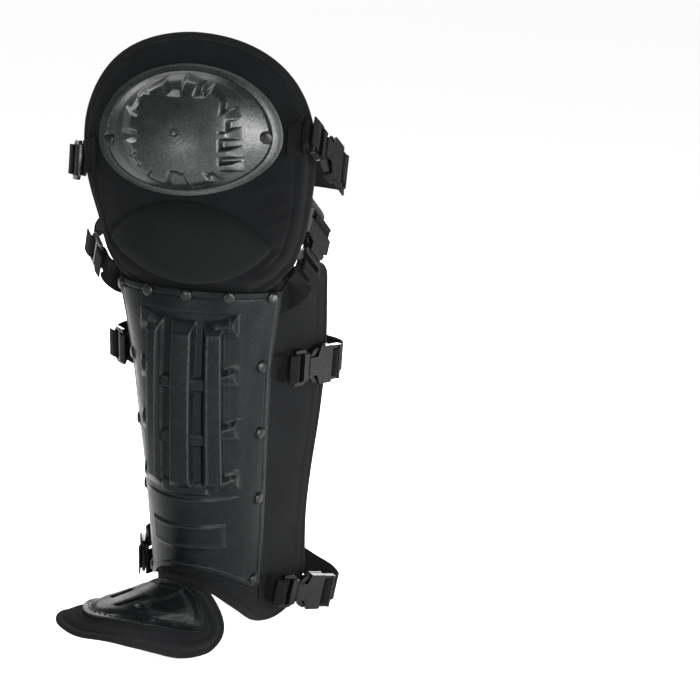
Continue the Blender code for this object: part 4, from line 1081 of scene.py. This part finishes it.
# the straps, their tabs, sliders and buckles
straps = {
    # the webbing's thickness and its turns round the bars; where a buckle's body starts and ends
    "thick": 1.7, "sliderBar": 10.8, "sliderWrap": 3.9, "baseWrap": 4.4,
    "bodyStart": 16.5, "buckleEnd": 62.5,
    # half of the webbing's section: across, share of half the thickness
    "section": ((0, 0.94), (4, 0.94), (8, 0.94), (11.5, 0.94), (13.2, 1.12), (14.4, 1.05), (14.9, 0.6)),
    # the webbing's way through the body: along the buckle from its end, outward
    "ladder": (
        (-27, -8.6), (-15.5, -8.1), (-13.2, -6.2), (-12.4, -3.0), (-12.4, 3.0), (-11.7, 4.4), (-10.6, 4.9),
        (-6.4, 4.9), (-5.3, 4.4), (-4.6, 3.0), (-4.6, -3.0), (-3.9, -4.7), (-2.2, -5.2), (8, -6.3),
    ),
    # centre, direction of the strap, outward
    "slider": {
        "knee": ((-127, -33, 254), (-0.6, 0.78, -0.1), (-0.78, -0.6, 0.1)),
        "upper_shin": ((-117, -15, 158), (-0.62, 0.55, 0.56), (-0.7, -0.7, -0.09)),
        "mid_shin": ((-102, 8, 53), (-0.72, 0.69, -0.02), (-0.69, -0.72, 0)),
        "ankle": ((-84, 23, -194), (-0.35, 0.93, 0.05), (-0.93, -0.35, 0)),
    },
    "buckle": {
        "knee": ((122, -48, 295), (0.273, 0.737, -0.618), (0.945, -0.134, 0.257)),
        "upper_shin": ((109, -14, 160), (-0.03, 0.74, 0.68), (0.96, -0.17, 0.23)),
        "mid_shin": ((94, 3, 51), (0.5, 0.86, -0.05), (0.86, -0.5, 0)),
        "ankle": ((82, 18, -212), (0.7, 0.68, -0.2), (0.68, -0.7, 0)),
    },
    # points behind the leg
    "rear": {
        "knee": (
            (-126, 26, 250), (-104, 78, 245), (-40, 110, 242), (30, 114, 241), (92, 88, 240),
            (124, 50, 246),
        ),
        "upper_shin": ((-121, 30, 187), (-98, 78, 203), (-40, 108, 210), (30, 112, 214), (84, 84, 214)),
        "mid_shin": (
            (-118, 45, 52), (-100, 85, 50), (-45, 118, 48), (30, 124, 47), (95, 105, 46), (128, 78, 46),
        ),
        "ankle": (
            (-98, 60, -195), (-82, 100, -197), (-35, 128, -203), (30, 132, -211), (86, 112, -223),
            (124, 86, -228),
        ),
    },
    # z at start and end, place across at start and end, three lifts
    "leftTab": {
        "knee": (266, 262, 96, 106, (3.2, 3.8, 4.6)),
        "upper_shin": (129, 131, 0.53, 0.6, (0.8, 1.3, 3.7)),
        "mid_shin": (53, 53, 0.555, 0.62, (2.1, 2.4, 3.0)),
        "ankle": (-198, -196, 0.555, 0.64, (1.8, 2.2, 3.0)),
    },
    "rightTab": {
        "knee": (290, 293, 96, 108, (3.2, 4.2, 5.2)),
        "upper_shin": (119, 131, 0.53, 0.6, (0.8, 1.3, 3.7)),
        "mid_shin": (53, 52, 0.555, 0.62, (2.1, 2.4, 3.0)),
        "ankle": (-206, -209, 0.555, 0.62, (1.8, 2.2, 3.0)),
    },
}


def frameAt(origin, along, outward):
    # a fitting's centre and its axes: along the strap, across it, and outward
    along = unit(np.array(along, float))
    outward = np.array(outward, float)
    outward = unit(outward - along * (outward @ along))
    return np.array(origin, float), along, np.cross(outward, along), outward


def acrossUp(axes):
    # the fitting's axis across the strap, on the side that points up
    return axes[2] * (1 if axes[2][2] >= 0 else -1)


def inFrame(axes, u, n):
    return axes[0] + np.asarray(u, float)[..., None] * axes[1] + np.asarray(n, float)[..., None] * axes[3]


def wrapAt(axes, bar, radius, tail, side):
    # a half turn round a bar, then back along the outer side
    turn = np.linspace(-math.pi / 2, math.pi / 2, 7)
    u = np.append(bar + side * radius * np.cos(turn), bar - side * tail)
    return inFrame(axes, u, np.append(radius * np.sin(turn), radius))


def curveThrough(points, count=None, step=1.3):
    # cubics through the points, read at even steps of the chord
    knots = np.array(points, float)
    chord = runOf(knots[:, :3])
    fine = np.linspace(0, chord[-1], max(int(chord[-1] / step), 40))
    line = np.column_stack(readTable(np.column_stack([chord, knots]).tolist(), fine))
    if count is None:
        return line
    run = runOf(line[:, :3])
    even = np.linspace(0, run[-1], count)
    return np.column_stack([np.interp(even, run, line[:, k]) for k in range(line.shape[1])])


def bandPiece(name, line, across, replaces, slanted=0):
    # flat webbing with thick edges along a path; a slanted start runs with the seam that holds it
    both = curveThrough(np.hstack([line, unit(across)]))
    path, wide = both[:, :3], unit(both[:, 3:])
    along = unit(np.gradient(path, axis=0))
    lean = along * (wide * along).sum(axis=1)[:, None]
    if slanted:
        start = runOf(line[: slanted + 1])[-1]
        lean = lean * np.clip(runOf(path) / start, 0, 1)[:, None]
    wide = unit(wide - lean)
    deep = unit(np.cross(along, wide))
    half = [(a, b * straps["thick"] / 2) for a, b in straps["section"]]
    top = [(-a, b) for a, b in half[:0:-1]] + half
    profile = np.array(top + [(-a, -b) for a, b in top])
    return sweepPiece(name, path, wide, deep, profile, web, [replaces], sharp=70)


def finishFitting(piece, node, width):
    # one finish for sliders and buckles, with rounded edges
    piece.data.materials.clear()
    piece.data.materials.append(fitting)
    piece.data.shade_smooth()
    rounded = piece.modifiers.new("rounded", "BEVEL")
    rounded.width = width * mm
    rounded.segments = 2
    rounded.limit_method = "ANGLE"
    rounded.angle_limit = math.radians(28)
    rounded.harden_normals = True
    return settle(piece, [node])


def sliderPiece(name, node):
    # a slider's own solid with the triangles of its flat faces joined
    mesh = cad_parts[node].data.copy()
    cleanMesh(mesh, flatten=True)
    return finishFitting(newObject(name, mesh), node, 0.5)


def prism(outline, low, high):
    # an outline in a fitting's plane, made solid between two heights
    line = np.array(outline, float)
    count = len(line)
    levels = [np.column_stack([line, np.full(count, float(n))]) for n in (low, high)]
    sides = [(j, (j + 1) % count, count + (j + 1) % count, count + j) for j in range(count)]
    mesh = bpy.data.meshes.new("prism")
    faces = [range(count)[::-1], range(count, 2 * count), *sides]
    mesh.from_pydata((np.concatenate(levels) * mm).tolist(), [], faces)
    cleanMesh(mesh, merge=False)
    return newObject("prism", mesh)


def plank(u0, u1, half, low, high, centre=0.0):
    line = [(u0, centre - half), (u1, centre - half), (u1, centre + half), (u0, centre + half)]
    return prism(line, low, high)


def joinedPiece(name, solids, cuts, node, width, axes):
    # one fitting from solids less its slots, joined lying flat and then set in its place
    made = solids[0]
    made.name = name
    for others, operation in ((solids[1:], "UNION"), (cuts, "DIFFERENCE")):
        for other in others:
            step = made.modifiers.new("step", "BOOLEAN")
            step.operation = operation
            step.solver = "EXACT"
            step.object = other
    bpy.context.view_layer.update()
    mesh = bpy.data.meshes.new_from_object(made.evaluated_get(bpy.context.evaluated_depsgraph_get()))
    made.modifiers.clear()
    made.data = mesh
    place = np.eye(4)
    place[:3] = np.column_stack([*axes[1:], axes[0] * mm])
    mesh.transform(Matrix(place.tolist()))
    for other in solids[1:] + cuts:
        bpy.data.objects.remove(other, do_unlink=True)
    return finishFitting(made, node, width)


def makeBuckle(kind, label, axes):
    # base: bar, slot, plate, tongue and two sprung arms
    ring = [(-1.7, -18), (-0.7, -19), (10, -19), (16.2, -15), (16.2, 15), (10, 19), (-0.7, 19), (-1.7, 18)]
    arm = [(12, 7.5), (19, 12), (23, 17), (29, 19.8), (30.5, 17), (26, 12.5), (21, 8.5), (12, 5)]
    base = [prism(ring, -2.4, 2.4), plank(9.2, 16.3, 14.6, -2.4, 4.6), plank(13, 30, 2.5, -2, 2)]
    base += [prism([(u, side * v) for u, v in arm], -3, 3) for side in (-1, 1)]
    slot = plank(1.7, 9.0, 15.6, -9, 9)
    joinedPiece(label + "BuckleBase", base, [slot], kind + "_buckle_base", 0.5, axes)
    # body: two faces, an end with two bars, two rails
    start, end = straps["bodyStart"], straps["buckleEnd"]
    edge = [(start, -10), (start + 11, -10), (start + 15, -20.5), (end - 15, -20.5), (end - 13.5, -19.4)]
    cover = edge + [(u, -v) for u, v in edge[::-1]]
    body = [
        prism(cover, 3.3, 5.5), prism(cover, -5.5, -3.3), plank(end - 19.5, end - 15.7, 19.9, -5.1, 5.1),
        plank(end - 17, end, 18.9, -3.1, 3.1), plank(end - 2.8, end, 18.9, -3.1, 4.2),
    ]
    body += [plank(start + 15.5, end - 16.3, 1.3, -5.2, 5.2, side * 18.8) for side in (-1, 1)]
    slots = [plank(u, u + 3.6, 15.6, -9, 9) for u in (end - 14.2, end - 6.4)]
    joinedPiece(label + "BuckleBody", body, slots, kind + "_buckle_body", 0.7, axes)


def makeTab(kind, label, side, row, axes, bar, radius):
    # a tab from under the shell or from the panel's face, round a fitting's bar and back
    startZ, endZ, startPlace, endPlace, lifts = row
    surface = kneeAt if kind == "knee" else padAt
    place = side * np.linspace(startPlace, endPlace, 3)
    height = np.linspace(startZ, endZ, 3)
    start = surface(place, height, np.array(lifts))
    upward = surface(place, height + 1, np.array(lifts)) - start
    leads = inFrame(axes, [bar - 10.0, bar - 5.0], [-radius, -radius])
    loop = wrapAt(axes, bar, radius, 11.0, 1)
    line = np.vstack([start, leads, loop])
    across = np.vstack([upward, np.tile(acrossUp(axes), (len(leads) + len(loop), 1))])
    which = "Left" if side < 0 else "Right"
    bandPiece(label + which + "Tab", line, across, kind + "_" + which.lower() + "_tab", 3)


def makeStrap(kind):
    p = straps
    label = kind.replace("_s", "S")
    slider = frameAt(*p["slider"][kind])
    buckle = frameAt(*p["buckle"][kind])
    bar, wrap = p["sliderBar"], p["sliderWrap"]
    makeTab(kind, label, -1, p["leftTab"][kind], slider, -bar, wrap)
    makeTab(kind, label, 1, p["rightTab"][kind], buckle, 0.0, p["baseWrap"])
    # the strap: round the slider's bar, behind the leg, through the buckle's body
    start = wrapAt(slider, bar, wrap, 9.0, -1)[::-1]
    leave = inFrame(slider, [bar + 8], [-wrap])
    ladder = np.array(p["ladder"])
    finish = inFrame(buckle, ladder[:, 0] + p["buckleEnd"], ladder[:, 1])[::-1]
    count = 12
    middle = curveThrough(np.vstack([leave, p["rear"][kind], finish[:1]]), count)
    line = np.vstack([start, middle, finish[1:]])
    weight = np.clip((np.arange(len(line)) - len(start)) / (count - 3), 0, 1)[:, None]
    across = acrossUp(slider) * (1 - weight) + acrossUp(buckle) * weight
    bandPiece(label + "Strap", line, across, kind + "_strap")
    sliderPiece(label + "Slider", kind + "_slider")
    makeBuckle(kind, label, buckle)


for kind in straps["slider"]:
    makeStrap(kind)
print("straps and buckles made")


# floor, light and camera
studio = {
    "floorZ": -264, "floorSize": 240.0, "world": 0.32,
    # softboxes: place in metres, width and height, watts
    "softboxes": (
        ((0.98, -1.26, 0.46), (1.0, 0.75), 64.0), ((-1.35, 0.65, 1.0), (1.0, 0.8), 16.0),
        ((-0.45, -1.70, 0.08), (0.45, 0.45), 8.0), ((-0.5, 2.0, 0.9), (1.6, 1.2), 85.0),
        ((1.35, -0.30, -0.09), (0.5, 0.3), 18.0),
    ),
    # overhead light: where it comes from, strength, width in degrees
    "overhead": ((-0.4, 0.05, 1.0), 2.7, 50),
    "lens": 64.34, "place": (0.4408, -1.1763, 0.4386),
    "right": (0.96761, 0.24941, 0.03892), "up": (-0.10736, 0.2671, 0.95767),
    "forward": (-0.22846, 0.93083, -0.28523),
}


def addLight(name, kind, energy, place):
    # a light that shines from its place at the guard
    light = bpy.data.lights.new(name, kind)
    light.energy = energy
    lamp = newObject(name, light)
    lamp.rotation_euler = Vector(place).to_track_quat("Z", "Y").to_euler()
    return light, lamp


def makeStudio():
    p = studio
    size, z = p["floorSize"] / 2, p["floorZ"] * mm
    mesh = bpy.data.meshes.new("floor")
    corners = [(-size, -size, z), (size, -size, z), (size, size, z), (-size, size, z)]
    mesh.from_pydata(corners, [], [(0, 1, 2, 3)])
    paper = newLook("pale paper", (0.9, 0.9, 0.9), 0.9)
    feed(paper, "Roughness", ramp(paper, objectNoise(paper, 30), 0.8, 0.95))
    mesh.materials.append(paper)
    newObject("floor", mesh)
    for k, (place, wide, watts) in enumerate(p["softboxes"]):
        light, lamp = addLight("softbox%d" % k, "AREA", watts, place)
        light.shape = "RECTANGLE"
        light.size, light.size_y = wide
        lamp.location = place
        lamp.visible_camera = False
    place, strength, wide = p["overhead"]
    addLight("overhead", "SUN", strength, place)[0].angle = math.radians(wide)
    # the room is dim to the object and white where it is seen
    world = bpy.data.worlds.new("room")
    world.use_nodes = True
    nodes, links = world.node_tree.nodes, world.node_tree.links
    back = nodes["Background"].inputs
    back["Color"].default_value = (1, 1, 1, 1)
    strength = nodes.new("ShaderNodeMapRange")
    strength.inputs["To Min"].default_value = p["world"]
    strength.inputs["To Max"].default_value = 1.0
    links.new(nodes.new("ShaderNodeLightPath").outputs["Is Camera Ray"], strength.inputs["Value"])
    links.new(strength.outputs["Result"], back["Strength"])
    bpy.context.scene.world = world
    lens = bpy.data.cameras.new("camera")
    lens.lens = p["lens"]
    lens.sensor_width = 36
    lens.clip_end = 100
    camera = newObject("camera", lens)
    axes = np.eye(4)
    axes[:3] = np.column_stack([p["right"], p["up"], -np.array(p["forward"]), p["place"]])
    camera.matrix_world = Matrix(axes.tolist())
    bpy.context.scene.camera = camera
    bpy.context.scene.view_settings.view_transform = "Standard"


makeStudio()
print("studio made")
